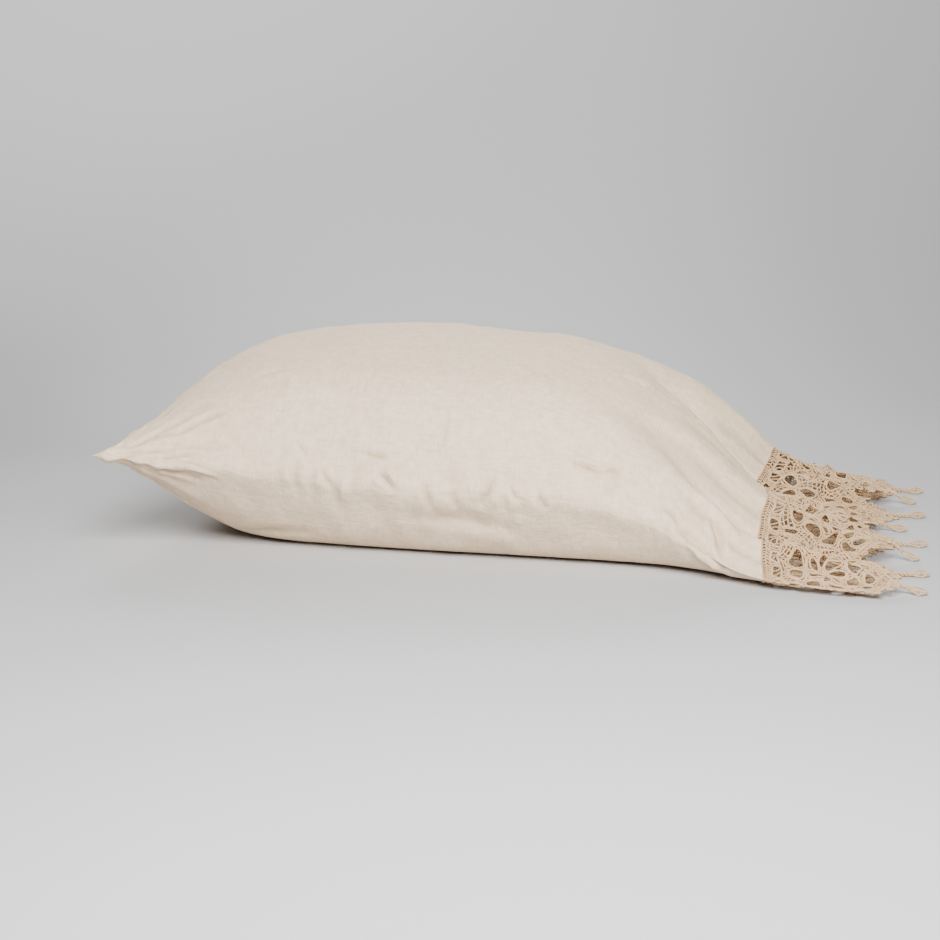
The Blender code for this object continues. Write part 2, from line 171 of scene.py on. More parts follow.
# Soft folds in the upper layer of the lace, in the same columns.
LACE_FOLD_ROWS = (
    (7000, 600, 8000, 340, 40, 80, -61),
    (7050, 1120, 7900, 900, -30, 70, -54),
    (7520, 1280, 7720, 1520, 20, 50, 46),
    (7600, 1420, 7800, 1220, 10, 50, -54),
    (7000, 1900, 7850, 1760, 30, 80, -61),
    (7120, 2460, 8000, 2320, -30, 70, -49),
    (7000, 3180, 7800, 3300, 30, 80, -61),
    (7420, 3720, 8020, 3600, 20, 60, -46),
    (7060, 4200, 7900, 4360, 30, 80, -54),
)
LACE_FOLDS = np.array(LACE_FOLD_ROWS) / 10000

# Narrow folds that fan from the lace seam back over the crown: the turn at the seam and where
# each dies out, the run where it begins, its half width as a share of a turn and its rise.
GATHER_ROWS = (
    (300, 520, 5600, 60, -26),
    (560, 740, 5200, 64, 32),
    (820, 920, 5400, 54, -24),
    (1040, 1080, 5000, 60, 22),
    (1260, 1260, 4900, 70, -30),
    (1500, 1440, 4700, 70, 32),
    (1760, 1660, 5000, 56, -26),
    (1980, 1840, 5000, 62, 26),
    (2220, 2040, 4800, 66, -28),
    (2500, 2260, 4800, 62, 24),
    (2720, 2440, 5200, 54, -22),
    (2980, 2720, 4800, 70, 32),
    (3260, 3040, 5200, 60, -26),
    (3560, 3380, 5000, 66, 28),
    (3920, 3840, 5200, 60, -26),
    (4300, 4200, 5400, 60, 24),
    (4680, 4560, 5600, 56, -20),
)
GATHERS = np.array(GATHER_ROWS) / 10000

# Sines of the run, as rows of height, length and phase: how far a side seam's puckers wander, how
# strong they are, and how the seam itself sways.
PUCKER_WANDER = ((0.35, 0.113, 0.0), (0.5, 0.071, 1.0))
PUCKER_STRENGTH = ((0.55, 0.19, 0.6),)
SEAM_SWAY = ((1.0, 0.092, 0.4), (0.7, 0.047, 2.0))

# Where the crown has sunk most: each bell's run, half width and depth.
SETTLED_ROWS = ((0.170, 0.045, 0.0030), (0.365, 0.055, 0.0044), (0.545, 0.028, 0.0034))

# The nets of creases in washed linen: each one's wave by length, seed and width, the patches
# where it shows by length and seed, where they start and are full, and its share.
CREASE_NETS = (
    (0.075, 31, 0.26, 0.16, 33, 0.15, 0.9, 1.0),
    (0.040, 32, 0.42, 0.12, 34, 0.10, 0.8, 0.55),
)

STITCH = 0.0036  # the length of one stitch along a worked edge
STEP = 0.0014  # the spacing of the points along a cord
POST = 0.0009  # the half width of a post between two rounds
CHAIN = 0.0010  # the half width of a round of chain
UP = np.array((0.0, 0.0, 1.0))
LEAST_LIFT = 0.0001  # how far a cord stays off the floor

# The footing's rows of chain by v and half width, and the stitches between them: the v of their
# tops and bottoms, their spacing and their slant.
FOOTING_ROWS = ((-0.0004, 0.0012), (0.0042, 0.0009), (0.0088, 0.0012))
FOOTING_STITCHES = (
    (-0.0012, 0.0042, 0.0033, 0.0016),
    (0.0042, 0.0088, 0.0036, -0.0014),
)
# The two loops in each square of the ladder: where each starts and ends, and how it leans.
LADDER_LOOPS = ((-0.0074, 0.0010, 0.0010), (-0.0010, 0.0074, -0.0010))

# The wheel's rounds of chain by radius, and the posts between rounds: inner and outer radius,
# spacing and where the first one stands, as a share of the spacing.
ROUNDS = (0.0030, 0.0058, 0.0216, 0.0358, 0.0400, 0.0444)
ROUNDS += (0.0490, 0.0536, 0.0582, 0.0628, 0.0674, 0.0720)
POSTS = (
    (0.0010, 0.0066, 0.0026, 0.0),
    (0.0066, 0.0216, 0.0034, 0.3),
    (0.0216, 0.0358, 0.0036, 0.1),
    (0.0358, 0.0400, 0.0038, 0.6),
    (0.0400, 0.0444, 0.0040, 0.2),
    (0.0444, 0.0490, 0.0040, 0.8),
    (0.0490, 0.0536, 0.0041, 0.4),
    (0.0536, 0.0582, 0.0041, 0.0),
    (0.0582, 0.0628, 0.0042, 0.5),
    (0.0628, 0.0674, 0.0042, 0.2),
    (0.0674, 0.0720, 0.0042, 0.7),
    (0.0720, 0.0766, 0.0042, 0.3),
)

# The flower's rounds by radius and half width, and its posts by inner and outer radius and count.
FLOWER_ROUNDS = ((0.0022, 0.0010), (0.0048, 0.0010), (0.0170, 0.0009), (0.0195, 0.0012))
FLOWER_POSTS = ((0.0008, 0.0048, 8), (0.0048, 0.0170, 20), (0.0170, 0.0195, 30))

HEADINGS = (-9.0, 7.0, -4.0, 12.0)  # where the drops of a layer point, degrees from straight on

# Each light's name, place, target, size in metres, power in watts and beam in degrees.
LIGHTS = (
    ("key", (0.30, -1.28, 1.05), (0.0, 0.0, 0.08), 0.9, 65.0, 180.0),
    ("top", (0.3, -0.2, 2.5), (0.0, 0.0, 0.08), 1.4, 0.5, 180.0),
    ("back", (-0.5, 1.6, 0.85), (0.0, 0.0, 0.08), 0.8, 5.0, 70.0),
    ("wall", (-1.2, 0.6, 1.9), (-1.1, 2.3, 1.6), 1.2, 66.0, 180.0),
)


def smooth(low: Array | float, high: Array | float, value: Array) -> Array:
    """0 below low, 1 above high, and the step 3t^2 - 2t^3 between."""
    share = np.clip((value - low) / (high - low), 0.0, 1.0)
    return share * share * (3 - 2 * share)


def resting(height: Array, soft: float) -> Array:
    """A height stopped at zero, rounded by (h + soft)^2 / 4 soft over soft on each side of it."""
    rounded = (height + soft) ** 2 / (4 * soft)
    return np.where(height < -soft, 0.0, np.where(height > soft, height, rounded))


def window(value: Array, rises: Pair, falls: Pair) -> Array:
    """1 between two soft steps: up over the first pair of values, down over the second."""
    return smooth(*rises, value) * (1 - smooth(*falls, value))


def bell(distance: Array, width: Array | float, power: float = 2.0) -> Array:
    """exp(-|distance / width|^power): 1 at no distance, and 0.37 at the width."""
    return np.exp(-(np.abs(distance / width) ** power))


def sines(value: Array, rows: tuple[Triple, ...]) -> Array:
    """The sum of height sin(tau value / length + phase) over rows of the three."""
    return sum(height * np.sin(tau * value / length + phase) for height, length, phase in rows)


def ripples(points: Array, wavelength: float, seed: int, count: int = 10) -> Array:
    """Soft random relief: the sum of plane waves sin(k . p + phase) in seeded directions.

    Args:
        points: places, with their coordinates on the last axis.
        wavelength: about the length of a wave.
        seed: the seed of the directions, lengths and phases.
        count: how many waves are summed.

    Returns:
        Values mostly from -1 to 1, one for each place.
    """
    random = np.random.default_rng(seed)
    directions = random.normal(size=(count, points.shape[-1]))
    directions /= np.linalg.norm(directions, axis=1, keepdims=True)
    lengths = wavelength * random.uniform(0.7, 1.4, count)
    phases = random.uniform(0.0, tau, count)
    waves = np.sin(points @ (directions * tau / lengths[:, None]).T + phases)
    return waves.sum(axis=-1) / np.sqrt(2.0 * count)


def at_shares(lines: Array, shares: Array) -> Array:
    """Points at shares of the length of many lines at once.

    Each line's running length is scaled to 0..1 and raised by twice its row, so that one
    interpolation over all rows finds every point.

    Args:
        lines: (rows, steps, 3) points.
        shares: (columns,) shares of each line's length.

    Returns:
        (rows, columns, 3) points.
    """
    steps = np.linalg.norm(np.diff(lines, axis=1), axis=2)
    length = np.concatenate((np.zeros((len(lines), 1)), np.cumsum(steps, axis=1)), axis=1)
    length = length / np.maximum(length[:, -1:], 1e-9)
    rows = 2.0 * np.arange(len(lines))[:, None]
    wanted = (shares[None, :] + rows).ravel()
    known = (length + rows).ravel()
    axes = [np.interp(wanted, known, lines[..., axis].ravel()) for axis in range(3)]
    return np.stack(axes, axis=-1).reshape(len(lines), len(shares), 3)


def unit(vectors: Array) -> Array:
    """The same vectors, each one unit long."""
    return vectors / np.maximum(np.linalg.norm(vectors, axis=-1, keepdims=True), 1e-12)


def outward(points: Array) -> Array:
    """Outward normals of a closed grid: along the run, crossed with around the turn.

    Args:
        points: (rows, columns, 3), the last column followed by the first.

    Returns:
        (rows, columns, 3) unit normals.
    """
    along = np.gradient(points, axis=0)
    around = np.roll(points, -1, axis=1) - np.roll(points, 1, axis=1)
    return unit(np.cross(along, around))


@dataclass(frozen=True)
class CaseForm:
    """How the filled case lies: the surface of its solids, as a function of run and turn."""

    case_run: float = 0.690
    lace_depth: float = 0.125
    centre_x: float = 0.02109
    nose_run: float = 0.22
    nose_power: float = 2.4
    nose_round: float = 0.56
    belly: float = 0.112
    round_belly: float = 2.4
    round_crown: float = 2.2
    squarer_belly: float = 0.08
    squarest: float = 0.5
    folds_reach: float = 1.5
    fold_fade: float = 0.62
    side_blend: int = 12
    lean: float = 0.30
    drawn_in: float = 0.032
    drawn_round: float = 2.6
    ear_run: float = 0.09
    ear_sharp: float = 1.2
    floor_soft: float = 0.012
    layers_apart: float = 0.0052
    layers_soft: float = 0.005
    mouth_starts: float = 0.46
    girth: float = 1.016
    steps: int = 360

    def column(self, name: str, runs: Array) -> Array:
        """A column of the section table at runs, on the cubic through its rows and slopes.

        Args:
            name: the column's name.
            runs: the runs.

        Returns:
            The values, in the shape of the runs.
        """
        known, values = SECTIONS["run"], SECTIONS[name]
        slopes = np.gradient(values, known)
        runs = np.clip(runs, known[0], known[-1])
        row = np.clip(np.searchsorted(known, runs, side="right") - 1, 0, len(known) - 2)
        width = known[row + 1] - known[row]
        t = (runs - known[row]) / width
        ends = (1 + 2 * t) * (1 - t) ** 2 * values[row] + t * t * (3 - 2 * t) * values[row + 1]
        bends = t * (1 - t) ** 2 * slopes[row] + t * t * (t - 1) * slopes[row + 1]
        return ends + width * bends

    def from_seam(self, turns: Array) -> Array:
        """The distance round the cloth to the nearer of the two side seams."""
        return np.minimum(np.abs(turns - 0.5), np.minimum(turns, 1 - turns)) * self.girth

    def folds(self, runs: Array, y: Array, effect: str) -> Array:
        """The main folds: each a bell exp(-((y - middle) / width)^2) that grows along the run.

        Args:
            runs: the runs.
            y: places across the case.
            effect: the column of heights that is wanted.

        Returns:
            The summed heights.
        """
        total = np.zeros(np.broadcast(runs, y).shape)
        fade = 1 - self.fold_fade * smooth(self.case_run, self.case_run + self.lace_depth, runs)
        for i, width in enumerate(FOLDS["width"]):
            starts = FOLDS["starts"][i]
            drawn = smooth(starts, FOLDS["full"][i], runs)
            along = smooth(starts, self.case_run, runs)
            middle = FOLDS["from_y"][i] + (FOLDS["to_y"][i] - FOLDS["from_y"][i]) * along
            total = total + FOLDS[effect][i] * drawn * fade * bell(y - middle, width)
        return total

    def heights(self, runs: Array, across: Array) -> tuple[Array, Array]:
        """The upper and the lower layer: the crown's dome and the belly's sag on their sides.

        Args:
            runs: (rows, 1) runs.
            across: (rows, steps) shares of the half width, from -1 to 1.

        Returns:
            The heights of the upper and of the lower layer, (rows, steps) each.
        """
        crown, near, far = (self.column(name, runs) for name in ("crown", "near", "far"))
        shoulder = self.column("shoulder", runs)
        nose = 1 - np.minimum(runs / self.nose_run, 1.0)
        swell = (1 - nose**self.nose_power) ** self.nose_round
        mouth = smooth(self.mouth_starts, self.case_run, runs)
        side = near + (far - near) * smooth(-1.0, 1.0, across)
        leaning = across - self.lean * mouth * (1 - across**2) / 2
        lift = np.maximum(1 - np.abs(leaning) ** self.round_crown, 0.0) ** shoulder
        upper = side + (crown - (near + far) / 2) * swell * lift
        folds = self.folds(runs, self.column("half_width", runs) * across, "rise")
        upper = upper + folds * np.clip(self.folds_reach * lift, 0.0, 1.0)
        least = self.layers_apart * mouth
        upper = least + resting(upper - least, self.layers_soft)
        squareness = np.maximum(shoulder - self.squarer_belly, self.squarest)
        sag = np.maximum(1 - np.abs(across) ** self.round_belly, 0.0) ** squareness
        lower = resting(side - self.belly * swell * sag, self.floor_soft)
        blend = 1 - across**self.side_blend
        return side + (upper - side) * blend, side + (lower - side) * blend

    def lines(self, runs: Array, is_upper: bool) -> Array:
        """One layer of many sections, each a line of points from the near to the far side.

        Args:
            runs: (rows,) runs.
            is_upper: whether the upper layer is wanted.

        Returns:
            (rows, steps + 1, 3) points.
        """
        runs = runs[:, None]
        across = -np.cos(np.linspace(0.0, pi, self.steps + 1))[None, :]
        upper, lower = self.heights(runs, across)
        drawn = self.drawn_in * (1 - np.abs(across) ** self.drawn_round)
        drawn = drawn * bell(runs, self.ear_run, self.ear_sharp)
        x = self.column("x", runs) - self.centre_x + drawn
        x = x - self.column("skew", runs) * across
        y = self.column("half_width", runs) * across
        if is_upper:
            back = self.column("pull", runs) + self.folds(runs, y, "back")
            x = x - back * (1 - across**2)
        return np.stack((x, y, upper if is_upper else lower), axis=-1)

    def surface(self, runs: Array, turns: Array) -> Array:
        """The cloth at every run and turn, its turns spaced evenly by length in each layer."""
        turns = np.mod(turns, 1.0)
        return self.joined(self.lines(runs, True), self.lines(runs, False), turns)

    @staticmethod
    def joined(upper: Array, lower: Array, turns: Array) -> Array:
        """Both layers' lines, each read from the near to the far side, as one turn round.

        Args:
            upper: (rows, steps, 3) points of the upper layer's lines.
            lower: the same of the lower layer.
            turns: (columns,) turns, from 0 to 1.

        Returns:
            (rows, columns, 3) points.
        """
        upper = at_shares(upper, np.clip(2 * turns, 0.0, 1.0))
        lower = at_shares(lower, np.clip(2 - 2 * turns, 0.0, 1.0))
        return np.where((turns <= 0.5)[None, :, None], upper, lower)


@dataclass(frozen=True)
class ClothRelief:
    """The small relief of the cloth over its main form: creases, gathers, seams and crumple."""

    form: CaseForm
    swelling: float = 0.45
    swelling_away: float = 1.9
    seam_valley: float = 0.0005
    seam_half_width: float = 0.0030
    seam_sway: float = 0.0022
    sway_reach: float = 0.030
    pucker: float = 0.0015
    pucker_length: float = 0.021
    pucker_reach: float = 0.020
    pucker_wander: float = 2.5
    settled_depth: float = 0.0038
    ear_crease: float = 0.0009
    tuck: float = 0.0044
    tuck_distance: float = 0.014
    tuck_width: float = 0.012
    end_pucker: float = 0.0010
    end_reach: float = 0.032
    crumple: float = 0.0018
    crease_net: float = 0.0012
    net_bend: float = 0.012
    net_fade: float = 0.6
    fades_from: float = 0.60
    end_fade: float = 0.009
    floor_fade: float = 0.016

    def gathers(self, runs: Array, turns: Array) -> Array:
        """Narrow folds at the lace: bells across the turn that grow as smooth(starts, seam).

        Args:
            runs: the runs.
            turns: the turns.

        Returns:
            Their heights.
        """
        total = np.zeros(np.broadcast(runs, turns).shape)
        fade = 1 - smooth(self.form.case_run + 0.01, self.form.case_run + 0.09, runs)
        for turn, from_turn, starts, width, rise in GATHERS:
            grown = smooth(starts, self.form.case_run, runs)
            middle = from_turn + (turn - from_turn) * grown
            spread = width * (1.9 - 0.9 * grown)
            total = total + rise * grown * fade * bell(turns - middle, spread)
        return total

    def creases(self, runs: Array, turns: Array, rows: Array = CREASES) -> Array:
        """Listed creases: a trough along a bowed line, with a low swelling on each side.

        Args:
            runs: the runs.
            turns: the turns.
            rows: the creases, in the columns of CREASE_ROWS.

        Returns:
            Their heights.
        """
        total = np.zeros(np.broadcast(runs, turns).shape)
        for run, turn, to_run, to_turn, bow, width, depth in rows:
            ahead = np.array((to_run - run, (to_turn - turn) * self.form.girth))
            length = np.hypot(*ahead)
            ahead = ahead / length
            from_run = runs - run
            from_turn = (np.mod(turns - turn + 0.5, 1.0) - 0.5) * self.form.girth
            share = np.clip((from_run * ahead[0] + from_turn * ahead[1]) / length, 0.0, 1.0)
            aside = from_run * -ahead[1] + from_turn * ahead[0] - 4 * bow * share * (1 - share)
            beyond = from_run * ahead[0] + from_turn * ahead[1] - share * length
            away = np.hypot(aside, beyond)
            tapered = 0.25 + 0.75 * np.sin(pi * share) ** 0.7
            swelling = self.swelling * bell(away - self.swelling_away * width, width)
            total = total - depth * tapered * (bell(away, width) - swelling)
        return total

    def seams(self, runs: Array, turns: Array) -> Array:
        """The two side seams: a thin valley, and puckers cos(run) that die out on both sides.

        Args:
            runs: the runs.
            turns: the turns.

        Returns:
            Their heights.
        """
        away = self.form.from_seam(turns)
        valley = -self.seam_valley * bell(away, self.seam_half_width)
        wander = self.pucker_wander * sines(runs, PUCKER_WANDER)
        wave = np.cos(tau * runs / self.pucker_length + wander)
        strength = np.maximum(0.45 + sines(runs, PUCKER_STRENGTH), 0.0)
        return valley + self.pucker * wave * strength * bell(away, self.pucker_reach, 1.6)

    def sway(self, runs: Array, turns: Array) -> Array:
        """How far the side seams wander up and down: low sines of the run, with a soft reach.

        Args:
            runs: the runs.
            turns: the turns.

        Returns:
            How far each place moves up.
        """
        wave = sines(runs, SEAM_SWAY) / sum(row[0] for row in SEAM_SWAY)
        held = window(runs, (0.03, 0.10), (0.54, 0.62))
        return self.seam_sway * wave * held * bell(self.form.from_seam(turns), self.sway_reach)

    def settled(self, runs: Array, turns: Array) -> Array:
        """How far the crown has sunk: an even depth and three wide bells along the run.

        Args:
            runs: the runs.
            turns: the turns.

        Returns:
            How far each place moves down.
        """
        depth = self.settled_depth * window(runs, (0.03, 0.12), (0.57, 0.66))
        for run, width, deeper in SETTLED_ROWS:
            depth = depth + deeper * bell(runs - run, width)
        return depth * window(turns, (0.07, 0.23), (0.38, 0.47))

    def ears(self, runs: Array, turns: Array) -> Array:
        """Creases that fan from the sewn corners, cos(angle), and a bell that fills each tip.

        Args:
            runs: the runs.
            turns: the turns.

        Returns:
            Their heights.
        """
        total = np.zeros(np.broadcast(runs, turns).shape)
        for corner in (0.0, 0.5, 1.0):
            aside = (turns - corner) * self.form.girth
            distance = np.hypot(runs, aside) + 1e-6
            angle = np.arctan2(aside, runs)
            fan = np.cos(13 * angle + 0.8) + 0.6 * np.cos(29 * angle + 2.0)
            fan = fan * window(distance, (0.004, 0.03), (0.05, 0.15))
            tuck = bell(distance - self.tuck_distance, self.tuck_width)
            total = total + self.ear_crease * fan + self.tuck * tuck
        return total

    def closed_end(self, runs: Array, turns: Array) -> Array:
        """Puckers along the closed seam: waves across the turn that die out along the run.

        Args:
            runs: the runs.
            turns: the turns.

        Returns:
            Their heights.
        """
        wander = turns * self.form.girth + 0.006 * np.sin(tau * turns * 7)
        wave = np.cos(tau * wander / 0.021) + 0.5 * np.cos(tau * wander / 0.0133 + 1.0)
        fade = smooth(0.002, 0.012, runs) * bell(runs, self.end_reach, 1.5)
        return self.end_pucker * wave * fade

    def low_wave(self, points: Array) -> Array:
        """The longest waves of the crumple, which the depth of the painted shade is measured
        from.
        """
        return 0.6 * ripples(points, 0.085, 11)

    def crumpled(self, points: Array, runs: Array) -> Array:
        """Washed linen: low waves, and a sparse net of creases where a second wave is zero.

        Args:
            points: (rows, columns, 3) places on the main form.
            runs: (rows, 1) runs.

        Returns:
            The heights, (rows, columns).
        """
        low = self.low_wave(points) + 0.4 * ripples(points, 0.034, 12)
        bends = np.stack([ripples(points, 0.06, seed) for seed in (21, 22, 23)], axis=-1)
        bent = points + self.net_bend * bends
        net = 0.0
        for length, seed, width, patch, patch_seed, starts, full, share in CREASE_NETS:
            shown = smooth(starts, full, ripples(points, patch, patch_seed))
            net = net + share * (bell(ripples(bent, length, seed), width) * shown)
        fade = 1 - self.net_fade * smooth(self.fades_from, self.form.case_run, runs)
        return (self.crumple * low + self.crease_net * net) * fade

    def rise(self, points: Array, runs: Array, turns: Array) -> Array:
        """How far the linen stands out of its main form.

        Args:
            points: (rows, columns, 3) places on the main form.
            runs: (rows,) runs.
            turns: (columns,) turns.

        Returns:
            (rows, columns) distances along the outward normals.
        """
        run, turn = runs[:, None], turns[None, :]
        free = smooth(0.0, self.end_fade, run) * smooth(0.0, self.floor_fade, points[..., 2])
        on_linen = 1 - smooth(self.form.case_run - 0.03, self.form.case_run, run)
        relief = self.creases(run, turn) + self.seams(run, turn) + self.ears(run, turn)
        relief = relief + self.closed_end(run, turn) + self.crumpled(points, run)
        return relief * free * on_linen + self.gathers(run, turn)


def new_mesh(name: str, points: Array, polygons: list[Array], finish: Material) -> Piece:
    """A smooth-shaded object from points and polygons of any number of corners.

    Args:
        name: the object's name.
        points: (points, 3) places.
        polygons: arrays of (polygons, corners) point numbers.
        finish: its material.

    Returns:
        The object, linked to the scene.
    """
    mesh = bpy.data.meshes.new(name)
    corners = np.concatenate([part.ravel() for part in polygons])
    counts = np.concatenate([np.full(len(part), part.shape[1]) for part in polygons])
    mesh.vertices.add(len(points))
    mesh.vertices.foreach_set("co", np.ascontiguousarray(points, dtype=np.float32).ravel())
    mesh.loops.add(len(corners))
    mesh.loops.foreach_set("vertex_index", corners.astype(np.int32))
    mesh.polygons.add(len(counts))
    starts = np.concatenate(([0], np.cumsum(counts)[:-1]))
    mesh.polygons.foreach_set("loop_start", starts.astype(np.int32))
    mesh.polygons.foreach_set("use_smooth", np.ones(len(counts), dtype=bool))
    mesh.update(calc_edges=True)
    mesh.materials.append(finish)
    piece = bpy.data.objects.new(name, mesh)
    bpy.context.scene.collection.objects.link(piece)
    return piece


def lay_uv(piece: Piece, name: str, flat: Array) -> None:
    """Gives a mesh a UV map with one flat place for each corner of its polygons."""
    layer = piece.data.uv_layers.new(name=name)
    layer.uv.foreach_set("vector", np.ascontiguousarray(flat, dtype=np.float32).ravel())


def lay_value(piece: Piece, name: str, values: Array) -> None:
    """Gives a mesh an attribute with one value for each point."""
    made = piece.data.attributes.new(name, "FLOAT", "POINT")
    made.data.foreach_set("value", np.ascontiguousarray(values, dtype=np.float32).ravel())


def closed_grid(rows: int, columns: int) -> tuple[Array, Array]:
    """Quads of a grid whose last column is followed by its first, faces out.

    Args:
        rows: how many rows of points.
        columns: how many points each row has.

    Returns:
        (quads, 4) point numbers, and (quads, 4, 2) rows and columns, not wrapped round.
    """
    row, column = np.meshgrid(np.arange(rows - 1), np.arange(columns), indexing="ij")
    places = np.stack(
        [
            np.stack((row + a, column + b), axis=-1).reshape(-1, 2)
            for a, b in ((0, 0), (1, 0), (1, 1), (0, 1))
        ],
        axis=1,
    )
    quads = places[..., 0] * columns + places[..., 1] % columns
    return quads, places


class NodeTree:
    """A material's or a group's nodes, added and joined by name."""

    def __init__(self, tree: Tree) -> None:
        """Works on a tree that exists."""
        self.tree = tree

    def add(self, kind: str, **settings: object) -> Node:
        """A new node, its settings set and its inputs filled.

        Args:
            kind: the node's type.
            settings: properties of the node by name, and under "inputs" a dictionary of input
                name or number to a value or to another node's output.

        Returns:
            The node.
        """
        node = self.tree.nodes.new(kind)
        inputs = settings.pop("inputs", {})
        for name, value in settings.items():
            setattr(node, name, value)
        for name, value in inputs.items():
            if isinstance(value, Socket):
                self.tree.links.new(value, node.inputs[name])
            else:
                node.inputs[name].default_value = value
        return node

    def math(self, operation: str, *values: object) -> Socket:
        """The output of a Math node on values or other outputs."""
        node = self.add("ShaderNodeMath", operation=operation, inputs=dict(enumerate(values)))
        return node.outputs[0]

    def times(self, *values: object) -> Socket:
        """The product of two values or outputs."""
        return self.math("MULTIPLY", *values)

    def total(self, *parts: tuple[object, float]) -> Socket:
        """The sum of outputs, each times its own factor.

        Args:
            parts: an output or a value, with its factor.

        Returns:
            The sum's output.
        """
        summed = 0.0
        for output, factor in parts:
            summed = self.math("MULTIPLY_ADD", output, factor, summed)
        return summed

    def mix(self, share: object, first: object, second: object) -> Socket:
        """A colour between two others, at a share."""
        node = self.add("ShaderNodeMix", data_type="RGBA", inputs={0: share, 6: first, 7: second})
        return node.outputs[2]

    def ramp(self, value: object, low: float, high: float) -> Socket:
        """A value brought from low..high to 0..1 and clipped."""
        inputs = {0: value, 1: low, 2: high, 3: 0.0, 4: 1.0}
        return self.add("ShaderNodeMapRange", inputs=inputs).outputs[0]

    def noise(self, vector: object, scale: object, detail: float) -> Socket:
        """A noise of a vector, mostly from 0.3 to 0.7."""
        inputs = {"Vector": vector, "Scale": scale, "Detail": detail}
        return self.add("ShaderNodeTexNoise", inputs=inputs).outputs[0]

    def parts(self, vector: object) -> tuple[Socket, ...]:
        """The three numbers of a vector."""
        return tuple(self.add("ShaderNodeSeparateXYZ", inputs={0: vector}).outputs)

    def give(self, **outputs: object) -> Tree:
        """Joins outputs to new number outputs of the group, by name, and returns the group.

        Args:
            outputs: the group's output names, and what is joined to each.

        Returns:
            The group.
        """
        for name in outputs:
            self.tree.interface.new_socket(
                name=name, in_out="OUTPUT", socket_type="NodeSocketFloat"
            )
        self.add("NodeGroupOutput", inputs=outputs)
        return self.tree


class GroupKind(Enum):
    """The node groups that the finishes share."""

    UNEVEN = "uneven_tone"
    THREAD = "thread_lines"
    TWIST = "yarn_twist"
    PRESSED = "pressed_line"


def new_group(kind: GroupKind, takes: dict[str, float]) -> tuple[NodeTree, object]:
    """A new group with a vector input and named number inputs.

    Args:
        kind: which group it is.
        takes: the names of its number inputs and their values.

    Returns:
        Its nodes, and its inputs as outputs of its first node.
    """
    tree = bpy.data.node_groups.new(kind.value, "ShaderNodeTree")
    tree.interface.new_socket(name="Vector", in_out="INPUT", socket_type="NodeSocketVector")
    for name, value in takes.items():
        socket = tree.interface.new_socket(
            name=name, in_out="INPUT", socket_type="NodeSocketFloat"
        )
        socket.default_value = value
    nodes = NodeTree(tree)
    return nodes, nodes.add("NodeGroupInput").outputs


def uneven_tone() -> Tree:
    """Two noises of the vector, broad patches and fine specks, each brought to 0..1.

    Returns:
        The group.
    """
    nodes, into = new_group(GroupKind.UNEVEN, {"Broad": 9.0, "Fine": 60.0})
    broad = nodes.noise(into["Vector"], into["Broad"], 3.0)
    fine = nodes.noise(into["Vector"], into["Fine"], 4.0)
    return nodes.give(Patches=nodes.ramp(broad, 0.3, 0.7), Specks=nodes.ramp(fine, 0.3, 0.7))


def thread_lines() -> Tree:
    """A plain weave on a UV map in metres, with slubs.

    Threads: sin of the distance across them at the thread's spacing, the warp and the weft
    raised by turns as the product of the two sines. Slubs: noise stretched along each thread.

    Returns:
        The group.
    """
    nodes, into = new_group(GroupKind.THREAD, {"Threads": 1500.0})
    warp, weft = (
        nodes.math("SINE", nodes.times(nodes.times(part, into["Threads"]), pi))
        for part in nodes.parts(into["Vector"])[:2]
    )
    slubs = []
    for stretch in ((600.0, 55.0, 1.0), (65.0, 620.0, 1.0)):
        mapping = {"Vector": into["Vector"], "Scale": stretch}
        mapped = nodes.add("ShaderNodeMapping", inputs=mapping).outputs[0]
        slubs.append(nodes.ramp(nodes.noise(mapped, 1.0, 2.0), 0.48, 0.74))
    return nodes.give(Weave=nodes.times(warp, weft), Slubs=nodes.math("MAXIMUM", *slubs))


def pressed_line() -> Tree:
    """A sharp crease on a UV map in metres: exp(-(distance / width)^2) from a bowed line.

    The line starts at (Start U, Start V) and runs for its length along (Ahead U, Ahead V). Its
    middle bows aside by 4 bow share (1 - share), and it is fainter at its ends. U wraps round
    the girth.

    Returns:
        The group.
    """
    takes = dict.fromkeys(("Start U", "Start V", "Ahead U", "Ahead V", "Bow"), 0.0)
    takes |= {"Length": 0.03, "Width": 0.001, "Half Girth": 0.5}
    nodes, into = new_group(GroupKind.PRESSED, takes)
    u, v, _ = nodes.parts(into["Vector"])
    lowest = nodes.times(into["Half Girth"], -1.0)
    from_u = nodes.math("SUBTRACT", u, into["Start U"])
    from_u = nodes.math("WRAP", from_u, into["Half Girth"], lowest)
    from_v = nodes.math("SUBTRACT", v, into["Start V"])
    along = nodes.times(from_u, into["Ahead U"])
    along = nodes.math("MULTIPLY_ADD", from_v, into["Ahead V"], along)
    share = nodes.ramp(nodes.math("DIVIDE", along, into["Length"]), 0.0, 1.0)
    beyond = nodes.math("SUBTRACT", along, nodes.times(share, into["Length"]))
    bowed = nodes.times(share, nodes.math("SUBTRACT", 1.0, share))
    bowed = nodes.times(nodes.times(bowed, into["Bow"]), 4.0)
    aside = nodes.times(from_u, into["Ahead V"])
    aside = nodes.math("SUBTRACT", aside, nodes.times(from_v, into["Ahead U"]))
    aside = nodes.math("SUBTRACT", aside, bowed)
    square = nodes.math("MULTIPLY_ADD", beyond, beyond, nodes.times(aside, aside))
    scaled = nodes.math("DIVIDE", square, nodes.times(into["Width"], into["Width"]))
    near = nodes.math("EXPONENT", nodes.times(scaled, -1.0))
    fade = nodes.math("MULTIPLY_ADD", nodes.math("SINE", nodes.times(share, pi)), 0.7, 0.3)
    return nodes.give(Crease=nodes.times(near, fade))


